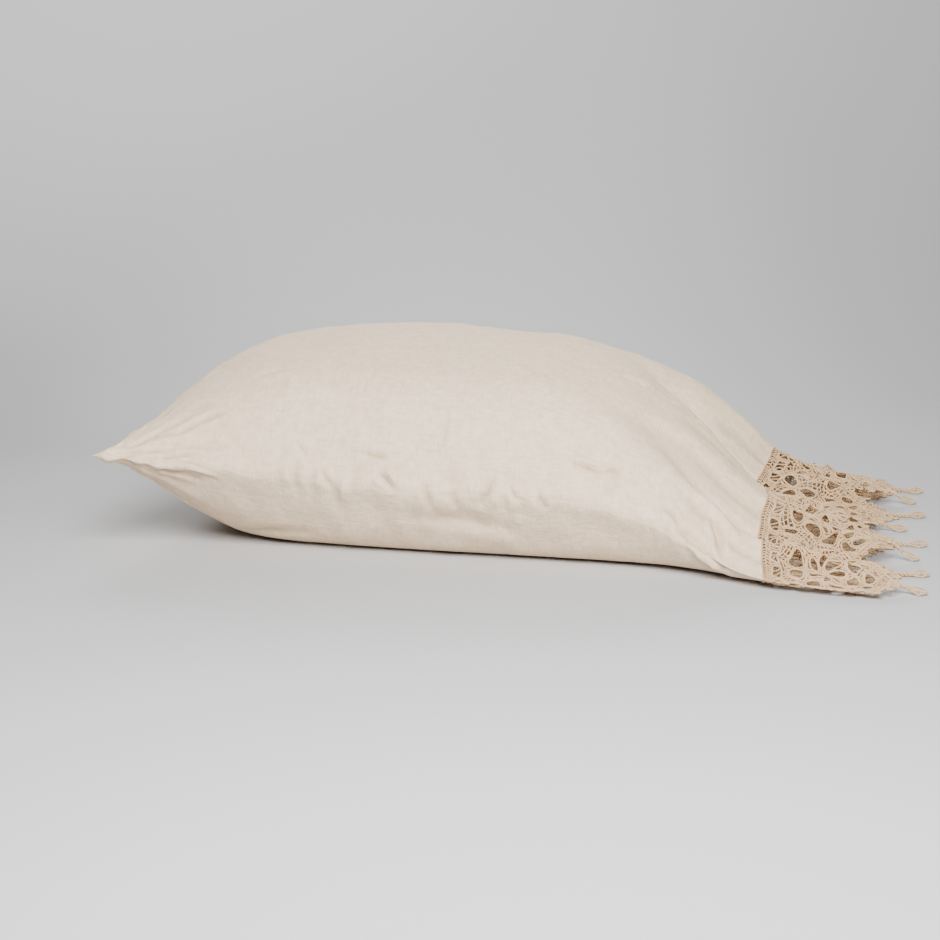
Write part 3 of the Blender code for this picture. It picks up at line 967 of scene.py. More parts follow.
def yarn_twist() -> Tree:
    """The ply of a yarn on a UV map: sin of the length plus the turn round the cord.

    Returns:
        The group.
    """
    nodes, into = new_group(GroupKind.TWIST, {"Pitch": 0.0024})
    around, length, _ = nodes.parts(into["Vector"])
    angle = nodes.math("ADD", nodes.math("DIVIDE", length, into["Pitch"]), around)
    return nodes.give(Ply=nodes.math("SINE", nodes.times(angle, tau)))


@dataclass(frozen=True)
class ClothFinish:
    """What the linen and the crochet finishes share, and the nodes they are made of."""

    name: str
    colour: Triple
    dark: Triple
    warm: Triple
    roughness: float = 0.9
    sheen: float = 0.25
    bump: float = 0.8

    def start(self) -> tuple[Material, NodeTree, Node]:
        """A new material, its nodes and its shader, with the constants set on the shader.

        Returns:
            The three of them.
        """
        material = bpy.data.materials.new(self.name)
        material.use_nodes = True
        shader = material.node_tree.nodes["Principled BSDF"]
        constants = {
            "Roughness": self.roughness,
            "Metallic": 0.0,
            "Specular IOR Level": 0.25,
            "Sheen Weight": self.sheen,
            "Sheen Roughness": 0.5,
            "Sheen Tint": (*self.colour, 1.0),
        }
        for name, value in constants.items():
            shader.inputs[name].default_value = value
        return material, NodeTree(material.node_tree), shader

    def darkened(
        self, nodes: NodeTree, colour: object, masks: tuple[tuple[object, float], ...]
    ) -> Socket:
        """A colour drawn towards the dark one by masks, each with its own strength.

        Args:
            nodes: the material's nodes.
            colour: the colour's output.
            masks: the masks, each with its strength.

        Returns:
            The new colour's output.
        """
        for mask, strength in masks:
            colour = nodes.mix(nodes.times(mask, strength), colour, (*self.dark, 1.0))
        return colour

    def join(self, nodes: NodeTree, shader: Node, colour: object, height: object) -> None:
        """Gives the shader its colour, and its normal from a height in metres.

        Args:
            nodes: the material's nodes.
            shader: its shader.
            colour: the colour's output.
            height: the height's output.
        """
        bump = {"Strength": self.bump, "Distance": 1.0, "Height": height}
        normal = nodes.add("ShaderNodeBump", inputs=bump).outputs[0]
        nodes.tree.links.new(colour, shader.inputs["Base Color"])
        nodes.tree.links.new(normal, shader.inputs["Normal"])

    def group(self, nodes: NodeTree, kind: GroupKind, vector: object, **values: float) -> object:
        """One of the shared groups, placed in this material with its own values.

        Args:
            nodes: the material's nodes.
            kind: which group.
            vector: the output that its Vector takes.
            values: its number inputs by name.

        Returns:
            The group node's outputs.
        """
        makers = {
            GroupKind.UNEVEN: uneven_tone,
            GroupKind.THREAD: thread_lines,
            GroupKind.TWIST: yarn_twist,
            GroupKind.PRESSED: pressed_line,
        }
        tree = bpy.data.node_groups.get(kind.value) or makers[kind]()
        inputs = {"Vector": vector, **values}
        return nodes.add("ShaderNodeGroup", node_tree=tree, inputs=inputs).outputs


@dataclass(frozen=True)
class LinenFinish(ClothFinish):
    """Washed ivory linen: plain weave with slubs, uneven in tone, with painted shade in its
    creases and dips.
    """

    name: str = "ivory_linen"
    colour: Triple = (0.92, 0.72, 0.515)
    dark: Triple = (0.54, 0.39, 0.25)
    warm: Triple = (0.90, 0.71, 0.51)
    threads: float = 1500.0
    girth: float = 1.016
    sharp_width: float = 0.0012
    sharp_share: float = 0.18
    patches: float = 0.8
    slubs: float = 0.36
    specks: float = 0.30
    # The strengths of the painted shade in the cloth's dips and pocket, and in the sunk sharp
    # creases.
    painted_shade: float = 0.45
    sharp: float = 0.34
    weave_height: float = 0.00005
    slub_height: float = 0.00036
    speck_height: float = 0.00050

    def pressed(self, nodes: NodeTree, cloth: object) -> tuple[object, object]:
        """The sharp creases: their height in metres, and the painted shade in the sunk ones.

        Args:
            nodes: the material's nodes.
            cloth: the output of the UV map in metres.

        Returns:
            The outputs of the height and of the painted shade.
        """
        height, shade = 0.0, 0.0
        for run, turn, to_run, to_turn, bow, _, depth in SHARP_CREASES:
            ahead = np.array(((to_turn - turn) * self.girth, to_run - run))
            length = float(np.hypot(*ahead))
            values = {
                "Start U": float(turn) * self.girth,
                "Start V": float(run),
                "Ahead U": float(ahead[0]) / length,
                "Ahead V": float(ahead[1]) / length,
                "Length": length,
                "Bow": float(bow),
                "Width": self.sharp_width,
                "Half Girth": self.girth / 2,
            }
            crease = self.group(nodes, GroupKind.PRESSED, cloth, **values)["Crease"]
            height = nodes.math("MULTIPLY_ADD", crease, -self.sharp_share * float(depth), height)
            # Only the sunk creases get painted shade.
            if depth > 0:
                shade = nodes.math("ADD", shade, crease)
        return height, shade

    def make(self) -> Material:
        """The linen's material, its weave on the UV map "cloth".

        Returns:
            The material.
        """
        material, nodes, shader = self.start()
        cloth = nodes.add("ShaderNodeUVMap", uv_map="cloth").outputs[0]
        place = nodes.add("ShaderNodeTexCoord").outputs["Object"]
        tone = self.group(nodes, GroupKind.UNEVEN, place, Broad=8.0, Fine=150.0)
        weave = self.group(nodes, GroupKind.THREAD, cloth, Threads=self.threads)
        painted_shade = nodes.add("ShaderNodeAttribute", attribute_name="painted_shade").outputs["Fac"]
        creases, shade = self.pressed(nodes, cloth)
        # Painted shade: the cloth's dips, the pocket and the sunk sharp creases, drawn towards
        # the dark colour below.
        painted_shade = nodes.total((painted_shade, self.painted_shade), (shade, self.sharp))
        patches = nodes.times(tone["Patches"], self.patches)
        colour = nodes.mix(patches, (*self.colour, 1.0), (*self.warm, 1.0))
        masks = ((weave["Slubs"], self.slubs), (tone["Specks"], self.specks), (painted_shade, 1.0))
        height = nodes.total(
            (weave["Weave"], self.weave_height),
            (weave["Slubs"], self.slub_height),
            (tone["Specks"], self.speck_height),
            (creases, 1.0),
        )
        self.join(nodes, shader, self.darkened(nodes, colour, masks), height)
        return material


@dataclass(frozen=True)
class CrochetFinish(ClothFinish):
    """Ecru cotton yarn: a twisted ply with painted shade in its furrows, each cord a little
    lighter or darker than the next.
    """

    name: str = "ecru_cotton"
    colour: Triple = (0.63, 0.415, 0.228)
    dark: Triple = (0.30, 0.18, 0.085)
    warm: Triple = (0.74, 0.53, 0.325)
    sheen: float = 0.15
    bump: float = 0.9
    pitch: float = 0.0024
    # How strongly the furrows of the ply are painted darker, as painted shade.
    ply_shade_strength: float = 0.30
    patches: float = 0.16
    ply_height: float = 0.00014
    speck_height: float = 0.00012

    def make(self) -> Material:
        """The yarn's material, its ply on the UV map "yarn".

        Returns:
            The material.
        """
        material, nodes, shader = self.start()
        yarn = nodes.add("ShaderNodeUVMap", uv_map="yarn").outputs[0]
        place = nodes.add("ShaderNodeTexCoord").outputs["Object"]
        tone = self.group(nodes, GroupKind.UNEVEN, place, Broad=22.0, Fine=420.0)
        ply = self.group(nodes, GroupKind.TWIST, yarn, Pitch=self.pitch)["Ply"]
        tint = nodes.add("ShaderNodeAttribute", attribute_name="tint").outputs["Fac"]
        colour = nodes.mix(tint, (*self.colour, 1.0), (*self.warm, 1.0))
        # Painted shade: the furrows between the plies drawn towards the dark colour.
        painted_ply_shade = nodes.ramp(ply, 0.1, -1.0)
        masks = ((painted_ply_shade, self.ply_shade_strength), (tone["Patches"], self.patches))
        height = nodes.total((ply, self.ply_height), (tone["Specks"], self.speck_height))
        self.join(nodes, shader, self.darkened(nodes, colour, masks), height)
        return material


@dataclass
class LinenCase:
    """The linen cover: the outer cloth on a fine grid, and the pocket at its mouth."""

    form: CaseForm
    relief: ClothRelief
    rows: int = 300
    layer_columns: int = 158
    end_crowding: float = 0.25
    seam_crowding: float = 0.25
    near_crowding: float = 0.20
    rounding_steps: int = 36
    blunt_reach: float = 0.024
    # Painted shade: the depths below the crumple's low waves over which it grows, and its share
    # on the pocket's inner face.
    shaded_depths: Pair = (0.0002, 0.0022)
    pocket_painted_shade: float = 0.3
    merged_within: float = 0.000002
    pocket_rows: int = 8
    pocket_starts: float = 0.602
    pocket_side: float = 0.009
    pocket_round: int = 8
    filling_bulge: float = 0.005
    filling_rows: int = 3
    wall: float = 0.0028

    def turns(self) -> Array:
        """The grid's turns, closer together at the seams, most of all at the near one.

        Returns:
            The turns, from 0 up to the last before 1.
        """
        even = np.arange(self.layer_columns) / self.layer_columns
        share = even - self.seam_crowding * np.sin(tau * even) / tau
        share = share - self.near_crowding * np.sin(pi * even) / pi
        ends = np.append(share, 1.0)
        return np.concatenate((share / 2, 1.0 - ends[:0:-1] / 2))

    def runs(self) -> Array:
        """The grid's runs, a little closer together at the two ends."""
        share = np.linspace(0.0, 1.0, self.rows)
        return self.form.case_run * (share - self.end_crowding * np.sin(tau * share) / tau)

    def rounded(self, points: Array, runs: Array, turns: Array) -> Array:
        """The form with its sewn sides blunted: each point drawn to the middle of its neighbours.

        Args:
            points: (rows, columns, 3) places on the form.
            runs: (rows,) runs.
            turns: (columns,) turns.

        Returns:
            The places after a few steps of it, fewer towards the ears and the lace.
        """
        held = window(runs, (0.004, 0.05), (0.58, 0.66))[:, None]
        share = (0.5 * held * bell(self.form.from_seam(turns), self.blunt_reach, 4.0))[..., None]
        for _ in range(self.rounding_steps):
            middle = (np.roll(points, 1, axis=1) + np.roll(points, -1, axis=1)) / 2
            points = points + share * (middle - points)
        return points

    def grid(self) -> tuple[Array, Array, Array]:
        """Every point of the cover.

        The outside is the form moved out along its normals by the relief, and never below the
        floor. The pocket is its inner face at the mouth.

        Returns:
            (rows, columns, 3) points, the runs of the rows, and the painted shade of each point.
        """
        runs, turns = self.runs(), self.turns()
        outer = self.rounded(self.form.surface(runs, turns), runs, turns)
        rise = self.relief.rise(outer, runs, turns)
        points = outer + outward(outer) * rise[..., None]
        points[..., 2] += self.relief.sway(runs[:, None], turns[None, :])
        points[..., 2] -= self.relief.settled(runs[:, None], turns[None, :])
        points[..., 2] = np.maximum(points[..., 2], 0.0)
        # Painted shade in the cloth's dips, stronger the deeper a point lies below the low waves.
        low = self.relief.crumple * self.relief.low_wave(outer)
        painted_shade = smooth(*self.shaded_depths, low - rise)
        rows = self.pocket_of(runs)
        inner = self.pocket(points[rows], turns)
        # The pocket's inner face gets an even painted shade.
        painted_shade = np.concatenate((painted_shade, np.full(inner.shape[:2], self.pocket_painted_shade)))
        return np.concatenate((points, inner)), np.concatenate((runs, runs[rows])), painted_shade

    def pocket_of(self, runs: Array) -> Array:
        """The outer rows that the pocket's rows lie in: mouth first, the last one repeated.

        Args:
            runs: the grid's runs.

        Returns:
            One outer row for each of the pocket's.
        """
        first = np.searchsorted(runs, self.pocket_starts)
        rows = np.linspace(len(runs) - 1, first, self.pocket_rows).round().astype(int)
        return np.append(rows, np.full(self.filling_rows, rows[-1]))

    def pocket(self, outer: Array, turns: Array) -> Array:
        """The pocket: each layer a wall's thickness in, towards the middle of the two.

        Both layers are read at the same Y, so that the inner face lies straight below or above
        the cloth. It closes at the sides as sqrt(1 - across^8), and at the filling as the cosine
        of an angle whose sine moves it on towards the mouth.

        Args:
            outer: (pocket rows, columns, 3) places of the outer cloth.
            turns: (columns,) turns.

        Returns:
            (pocket rows, columns, 3) places.
        """
        half = self.layer_columns
        angle = np.radians(90.0 * np.arange(1, self.filling_rows + 1) / self.filling_rows)
        fill = np.concatenate((np.ones(self.pocket_rows), np.cos(angle)))[:, None]
        forward = np.concatenate((np.zeros(self.pocket_rows), np.sin(angle)))[:, None]
        across = -np.cos(np.linspace(0.0, pi, self.form.steps + 1))[None, :]
        low_y = outer[:, :1, 1] + self.pocket_side
        high_y = outer[:, half : half + 1, 1] - self.pocket_side
        y = (low_y + high_y) / 2 + (high_y - low_y) / 2 * across
        upper = self.at_y(outer[:, : half + 1], y)
        lower = self.at_y(np.concatenate((outer[:, half:], outer[:, :1]), axis=1)[:, ::-1], y)
        middle = (upper + lower) / 2
        room = np.maximum((upper - lower)[..., 1] / 2 - self.wall, 0.0)
        cap = fill * np.sqrt(np.maximum(1 - across**self.pocket_round, 0.0))
        ahead = middle[..., 0] + forward * np.minimum(room / 2, self.filling_bulge)
        aside, lift = (upper - lower)[..., 0] / 2 * cap, room * cap
        layers = [
            np.stack((ahead + side * aside, y, middle[..., 1] + side * lift), axis=-1)
            for side in (1, -1)
        ]
        return self.form.joined(*layers, turns)

    @staticmethod
    def at_y(lines: Array, y: Array) -> Array:
        """X and Z of lines that run from the near to the far side, at places on Y, row by row.

        Args:
            lines: (rows, columns, 3) points.
            y: (rows, steps) places on Y.

        Returns:
            (rows, steps, 2) values of X and Z.
        """
        known = np.maximum.accumulate(lines[..., 1], axis=1)
        rows = [
            [np.interp(y[row], known[row], line[:, axis]) for axis in (0, 2)]
            for row, line in enumerate(lines)
        ]
        return np.moveaxis(np.array(rows), 1, -1)

    def build(self, finish: Material) -> Piece:
        """The cover as one closed mesh, its closed seam merged.

        Args:
            finish: the linen's material.

        Returns:
            The piece.
        """
        points, runs, painted_shade = self.grid()
        rows, columns = painted_shade.shape
        quads, places = closed_grid(rows, columns)
        piece = new_mesh("linen_cover", points.reshape(-1, 3), [quads], finish)
        turns = np.append(self.turns(), 1.0)
        flat = np.stack(
            (turns[places[..., 1]] * self.form.girth, runs[places[..., 0]]), axis=-1
        )
        lay_uv(piece, "cloth", flat)
        # The painted shade, as an attribute that the linen's finish reads.
        lay_value(piece, "painted_shade", painted_shade)
        work = bmesh.new()
        work.from_mesh(piece.data)
        bmesh.ops.remove_doubles(work, verts=work.verts, dist=self.merged_within)
        work.to_mesh(piece.data)
        work.free()
        return piece


@dataclass(frozen=True)
class Cord:
    """One cord of the lace, drawn flat: its line, half width, half height and lift."""

    line: Array
    width: float
    height: float
    lift: float = 0.0
    closed: bool = False
    beads: float = 0.0


@dataclass(frozen=True)
class Skein:
    """Many cords as arrays: their points one after another, and what each point is joined to."""

    places: Array
    width: Array
    height: Array
    lift: Array
    tint: Array
    along: Array
    before: Array
    after: Array

    @staticmethod
    def wind(cords: list[Cord], seed: int) -> "Skein":
        """The cords as one skein, each with its own tint.

        Args:
            cords: the cords.
            seed: the seed of their tints.

        Returns:
            The skein.
        """
        counts = np.array([len(cord.line) for cord in cords])
        firsts = np.concatenate(([0], np.cumsum(counts)[:-1]))
        numbers = np.arange(counts.sum())
        owner = np.repeat(np.arange(len(cords)), counts)
        closed = np.array([cord.closed for cord in cords])[owner]
        first, last = firsts[owner], (firsts + counts - 1)[owner]
        before = np.where(numbers > first, numbers - 1, np.where(closed, last, -1))
        after = np.where(numbers < last, numbers + 1, np.where(closed, first, -1))
        places = np.concatenate([cord.line for cord in cords])
        steps = np.linalg.norm(places - places[np.where(before < 0, numbers, before)], axis=1)
        steps[numbers == first] = 0.0
        total = np.cumsum(steps)
        along = total - total[first]
        tint = np.random.default_rng(seed).uniform(0.0, 1.0, len(cords))[owner]
        width, height, lift, beads = (
            np.array([getattr(cord, name) for cord in cords])[owner]
            for name in ("width", "height", "lift", "beads")
        )
        swell = 1 + beads * np.sin(tau * along / STITCH)
        return Skein(places, width * swell, height * swell, lift, tint, along, before, after)


def evenly(line: Array, step: float, closed: bool = False) -> Array:
    """The line again with points about a step apart.

    Args:
        line: (points, axes) places.
        step: the wanted spacing.
        closed: whether the last point is joined to the first.

    Returns:
        (points, axes) places; of a closed line the first isn't repeated.
    """
    if closed:
        line = np.concatenate((line, line[:1]))
    length = np.concatenate(([0.0], np.cumsum(np.linalg.norm(np.diff(line, axis=0), axis=1))))
    count = max(int(round(length[-1] / step)), 2)
    wanted = np.linspace(0.0, length[-1], count + 1)
    axes = [np.interp(wanted, length, line[:, axis]) for axis in range(line.shape[1])]
    spaced = np.stack(axes, axis=1)
    return spaced[:-1] if closed else spaced


def polar(hub: Pair, radius: Array | float, angle: Array | float) -> Array:
    """Flat places at a radius and an angle from a hub."""
    return np.stack((hub[0] + radius * np.cos(angle), hub[1] + radius * np.sin(angle)), axis=1)


def circle(hub: Pair, radius: float) -> Array:
    """Points round a circle, spaced like a cord's."""
    count = max(int(round(tau * radius / STEP)), 7)
    return polar(hub, radius, tau * np.arange(count) / count)


def rays(hub: Pair, inner: float, outer: float, count: int, start: float) -> list[Array]:
    """Straight lines from one radius to another, evenly round a hub from a share of a step."""
    radius = np.linspace(inner, outer, max(int(round((outer - inner) / STEP)), 3) + 1)
    return [polar(hub, radius, tau * (i + start) / count) for i in range(count)]


def cut(cord: Cord, kept: Array) -> list[Cord]:
    """The stretches of a cord whose points are kept, each at least three points long.

    Args:
        cord: the cord.
        kept: whether each of its line's points is kept.

    Returns:
        The stretches, as open cords.
    """
    edges = np.flatnonzero(np.diff(np.concatenate(([0], kept.astype(int), [0]))))
    return [
        replace(cord, line=cord.line[start:end], closed=False)
        for start, end in zip(edges[::2], edges[1::2])
        if end - start >= 3
    ]


@dataclass(frozen=True)
class CrochetPattern:
    """One repeat of the lace, drawn flat: its openings and the cords worked round them."""

    depth: float = 0.125
    pitch: float = 0.127
    row_v: float = 0.0145
    row_width: float = 0.0150
    row_height: float = 0.0084
    row_count: int = 6
    post_gap: float = 0.0021
    ladder_top: float = 0.0092
    loop_top: float = 0.0098
    loop_fall: float = 0.0048
    hub: Pair = (0.0, 0.062)
    spokes: int = 8
    petal: Triple = (0.0134, 0.0140, 0.0074)
    arch: Triple = (0.0284, 0.0112, 0.0164)
    twist: float = radians(14.0)
    flower_v: float = 0.046
    flower_eyes: int = 6
    flower_petal: Triple = (0.0108, 0.0122, 0.0074)
    flower_radius: float = 0.0195
    corner_eyes: tuple[tuple[float, ...], ...] = (
        (0.0330, 0.0300, 0.0110, 0.0165, 40.0),
        (0.0470, 0.0730, 0.0105, 0.0165, -30.0),
    )
    edge_count: int = 5
    edge_eye: Triple = (0.0430, 0.0096, 0.0138)
    edge_spread: float = radians(50.0)
    valley_v: float = 0.084
    scallop_power: float = 1.35
    field_top: float = 0.0196
    edging: float = 0.0058
    picots: int = 12
    smooth_eye: float = 1.7
    square_eye: float = 5.0
    eye_gap: float = 0.0006
    near_edge: Triple = (0.0006, 0.0012, 0.0010)
    far_edge: Triple = (0.0030, 0.0010, 0.0005)
    edge_rows: tuple[Pair, ...] = ((0.0010, 0.0013), (0.0056, 0.0011))
    edge_spacing: float = 0.0034
    picot_out: float = 0.0022
    picot_radius: float = 0.0028

    def eyes(self) -> Array:
        """Every opening: middle u and v, half length, half width, angle and squareness.

        Returns:
            One row of the six for each opening.
        """
        half = self.pitch / 2
        step = self.pitch / self.row_count
        size = (self.row_width / 2, self.row_height / 2, 0.0, self.square_eye)
        rows = [((i + 0.5) * step - half, self.row_v, *size) for i in range(self.row_count)]
        rows += self.ring(self.hub, self.spokes, self.petal, 0.0, self.twist)
        rows += self.ring(self.hub, self.spokes, self.arch, pi / self.spokes, 0.0)
        for side in (-1, 1):
            hub = (side * half, self.flower_v)
            flower = self.ring(hub, self.flower_eyes, self.flower_petal, 0.0, 0.0)
            rows += [row for row in flower if side * (side * half - row[0]) > 0]
            for u, v, length, width, turn in self.corner_eyes:
                angle = side * radians(turn)
                rows.append((side * u, v, length / 2, width / 2, angle, self.smooth_eye))
        distance, length, width = self.edge_eye
        for i in range(self.edge_count):
            angle = pi / 2 + self.edge_spread * (2 * i / (self.edge_count - 1) - 1)
            u, v = self.hub[0] + distance * cos(angle), self.hub[1] + distance * sin(angle)
            rows.append((u, v, length / 2, width / 2, angle, self.smooth_eye))
        return np.array(rows)

    def ring(
        self, hub: Pair, count: int, sizes: Triple, start: float, twist: float
    ) -> list[tuple[float, ...]]:
        """Openings in a ring round a hub, each turned by the twist from its spoke.

        Args:
            hub: the middle.
            count: how many.
            sizes: distance from the hub, length and width.
            start: the angle of the first.
            twist: how far each is turned.

        Returns:
            Rows like those of eyes.
        """
        distance, length, width = sizes
        rows = []
        for spoke in range(count):
            angle = start + tau * spoke / count
            u, v = hub[0] + distance * cos(angle), hub[1] + distance * sin(angle)
            rows.append((u, v, length / 2, width / 2, angle + twist, self.smooth_eye))
        return rows

    def scallop(self, u: Array) -> Array:
        """The depth of the edge: valley + (tip - valley)(1 - |share|^power)."""
        share = np.minimum(np.abs(u) / (self.pitch / 2), 1.0)
        return self.valley_v + (self.depth - self.valley_v) * (1 - share**self.scallop_power)

    def edge_line(self, inward: float) -> Array:
        """The scalloped edge moved inward along its normals, cut off at the next repeats.

        Args:
            inward: how far.

        Returns:
            (points, 2) flat places.
        """
        u = np.linspace(-self.pitch / 2, self.pitch / 2, 241)
        line = np.stack((u, self.scallop(u)), axis=1)
        ahead = unit(np.gradient(line, axis=0))
        moved = line + inward * np.stack((ahead[:, 1], -ahead[:, 0]), axis=1)
        return moved[np.abs(moved[:, 0]) <= self.pitch / 2 + 0.0004]

    def in_eyes(self, places: Array, grow: float) -> Array:
        """Whether flat places lie in an opening of this repeat or the next ones.

        Args:
            places: (points, 2) flat places.
            grow: how far each opening is grown.

        Returns:
            True where one does.
        """
        found = np.zeros(len(places), dtype=bool)
        for u, v, half_length, half_width, angle, square in self.eyes():
            for shift in (-self.pitch, 0.0, self.pitch):
                ahead, aside = places[:, 0] - u - shift, places[:, 1] - v
                a = (ahead * cos(angle) + aside * sin(angle)) / (half_length + grow)
                b = (aside * cos(angle) - ahead * sin(angle)) / (half_width + grow)
                found |= np.abs(a) ** square + np.abs(b) ** square < 1
        return found

    def in_scallop(self, places: Array, inward: float) -> Array:
        """Whether flat places lie inside the edge by a distance, measured square to it.

        Args:
            places: (points, 2) flat places.
            inward: the distance.

        Returns:
            True where one does.
        """
        share = np.minimum(np.abs(places[:, 0]) / (self.pitch / 2), 1.0)
        rise = (self.depth - self.valley_v) * self.scallop_power / (self.pitch / 2)
        slope = rise * share ** (self.scallop_power - 1)
        return places[:, 1] < self.scallop(places[:, 0]) - inward * np.hypot(1.0, slope)

    def in_flower(self, places: Array) -> Array:
        """Whether flat places lie in the half flowers at the repeat's two sides."""
        aside = self.pitch / 2 - np.abs(places[:, 0])
        return np.hypot(aside, places[:, 1] - self.flower_v) < self.flower_radius

    def in_field(self, places: Array) -> Array:
        """Whether flat places lie in the wheel's own ground, clear of every opening.

        Args:
            places: (points, 2) flat places.

        Returns:
            True where one does.
        """
        inside = (np.abs(places[:, 0]) < self.pitch / 2) & (places[:, 1] > self.field_top)
        inside &= self.in_scallop(places, self.edging) & ~self.in_flower(places)
        return inside & ~self.in_eyes(places, self.eye_gap)

    def rail(self, v: float, width: float, lift: float, beads: float) -> Cord:
        """A beaded row straight along the repeat.

        Args:
            v: how far down.
            width: its half width and half height.
            lift: how far it lies over the cloth.
            beads: how much its stitches swell.

        Returns:
            The cord.
        """
        half = self.pitch / 2
        line = evenly(np.array(((-half, v), (half, v))), STEP)
        return Cord(line, width, width, lift, beads=beads)

    def footing(self) -> list[Cord]:
        """The worked strip on the linen: long rows of chain, and slanted stitches between.

        Returns:
            The cords, in order.
        """
        half = self.pitch / 2
        cords = [self.rail(v, width, 0.0009, 0.30) for v, width in FOOTING_ROWS]
        for top, bottom, spacing, slant in FOOTING_STITCHES:
            for u in np.arange(-half, half - spacing / 2, spacing):
                line = np.array(((u - slant, top), (u + slant, bottom)))
                cords.append(Cord(evenly(line, 0.0016), CHAIN, POST, 0.0003))
        return cords

    def ladder(self) -> list[Cord]:
        """The row of squares: pillars of three posts between two rails.

        Returns:
            The cords, in order.
        """
        half = self.pitch / 2
        step = self.pitch / self.row_count
        rails = (self.row_v + self.row_height / 2 + 0.0010, self.field_top)
        cords = [self.rail(v, 0.0011, 0.0006, 0.25) for v in rails]
        for i in range(self.row_count + 1):
            for aside in (-self.post_gap, 0.0, self.post_gap):
                u = i * step - half + aside
                if -half - 1e-6 <= u < half - 1e-6:
                    line = np.array(((u, self.ladder_top), (u, self.field_top)))
                    cords.append(Cord(evenly(line, STEP), CHAIN, POST, beads=0.2))
        for i in range(self.row_count):
            u = (i + 0.5) * step - half
            for start, end, lean in LADDER_LOOPS:
                top = (u + start, self.loop_top)
                middle = (u + (start + end) / 2 + lean, self.row_v)
                line = np.array((top, middle, (u + end, self.row_v + self.loop_fall)))
                cords.append(Cord(evenly(line, STEP), POST, 0.0008, 0.0006, beads=0.2))
        return cords

    def edge_round(self, eye: Array, grow: float, width: float, lift: float) -> Cord:
        """A closed cord round an opening, grown by a distance.

        Args:
            eye: a row of eyes.
            grow: the distance.
            width: its half width and half height.
            lift: how far it lies over the cloth.

        Returns:
            The cord.
        """
        u, v, half_length, half_width, angle, square = eye
        turn = tau * np.arange(72) / 72
        a, b = (
            np.sign(wave) * np.abs(wave) ** (2 / square) * (half + grow)
            for wave, half in ((np.cos(turn), half_length), (np.sin(turn), half_width))
        )
        line = (u + a * cos(angle) - b * sin(angle), v + a * sin(angle) + b * cos(angle))
        line = evenly(np.stack(line, axis=1), STEP, closed=True)
        return Cord(line, width, width, lift, closed=True, beads=0.2)

    def outlines(self) -> list[Cord]:
        """A worked edge round every opening, and a second round where there is room.

        Returns:
            The cords, in order.
        """
        cords = []
        for eye in self.eyes():
            cords.append(self.edge_round(eye, *self.near_edge))
            if eye[-1] != self.square_eye:
                cord = self.edge_round(eye, *self.far_edge)
                kept = ~self.in_eyes(cord.line, 0.0016) & self.in_scallop(cord.line, 0.004)
                cords += cut(cord, kept & (cord.line[:, 1] > self.field_top))
        return cords

    def rounds(self) -> list[Cord]:
        """Rounds of chain about the wheel's hub, cut where they meet an opening or an edge.

        Returns:
            The cords, in order.
        """
        cords = []
        for radius in ROUNDS:
            line = circle(self.hub, radius)
            cords += cut(Cord(line, CHAIN, CHAIN, 0.0004, beads=0.25), self.in_field(line))
        return cords

    def spokes_between(self) -> list[Cord]:
        """Posts between the rounds, each ring of them with its own number and start.

        Returns:
            The cords, in order.
        """
        cords = []
        for inner, outer, spacing, start in POSTS:
            count = int(round(tau * (inner + outer) / 2 / spacing))
            for line in rays(self.hub, inner, outer, count, start):
                cords += cut(Cord(line, POST, POST), self.in_field(line))
        return cords

    def flower(self) -> list[Cord]:
        """The flower between two repeats: rounds and posts about its own hub, drawn whole.

        Returns:
            The cords, in order.
        """
        hub = (self.pitch / 2, self.flower_v)
        cords = []
        for radius, width in FLOWER_ROUNDS:
            cord = Cord(circle(hub, radius), width, width, 0.0005, closed=True)
            if radius > 0.01:
                kept = ~self.in_eyes(cord.line, self.eye_gap)
                cords += cut(replace(cord, beads=0.2), kept)
            else:
                cords.append(cord)
        for inner, outer, count in FLOWER_POSTS:
            for line in rays(hub, inner, outer, count, 0.5):
                cords += cut(Cord(line, POST, POST), ~self.in_eyes(line, self.eye_gap))
        border = (hub[0], hub[1] + self.flower_radius), (hub[0], self.valley_v - 0.003)
        cords.append(Cord(evenly(np.array(border), STEP), CHAIN, POST, 0.0004, beads=0.2))
        return cords

    def edging_rows(self) -> list[Cord]:
        """The worked edge: rows along the scallop, posts between them and picot loops outside.

        Returns:
            The cords, in order.
        """
        cords = []
        for inward, width in self.edge_rows:
            line = evenly(self.edge_line(inward), STEP)
            cords.append(Cord(line, width, width, 0.0006, beads=0.25))
        outer, inner = (self.edge_line(inward) for inward, _ in self.edge_rows)
        for place in evenly(outer, self.edge_spacing)[1:-1]:
            nearest = inner[np.argmin(np.linalg.norm(inner - place, axis=1))]
            line = np.stack((place, nearest))
            cords.append(Cord(evenly(line, 0.0016), CHAIN, POST))
        whole = evenly(self.edge_line(0.0), 0.0004)
        for i in range(self.picots):
            at = int((i + 0.5) / self.picots * (len(whole) - 1))
            ahead = unit(whole[min(at + 2, len(whole) - 1)] - whole[max(at - 2, 0)])
            away = np.array((-ahead[1], ahead[0]))
            turn = tau * np.arange(12)[:, None] / 12
            line = self.picot_radius * (np.cos(turn) * away + np.sin(turn) * ahead)
            line = whole[at] + away * self.picot_out + line
            cords.append(Cord(line, 0.0012, 0.0011, 0.0003, closed=True))
        return cords

    def repeat(self) -> list[Cord]:
        """Every cord of one repeat.

        Returns:
            The cords, in order.
        """
        parts = (self.footing, self.ladder, self.outlines, self.rounds, self.spokes_between)
        cords = [cord for part in parts for cord in part()]
        return cords + self.flower() + self.edging_rows()


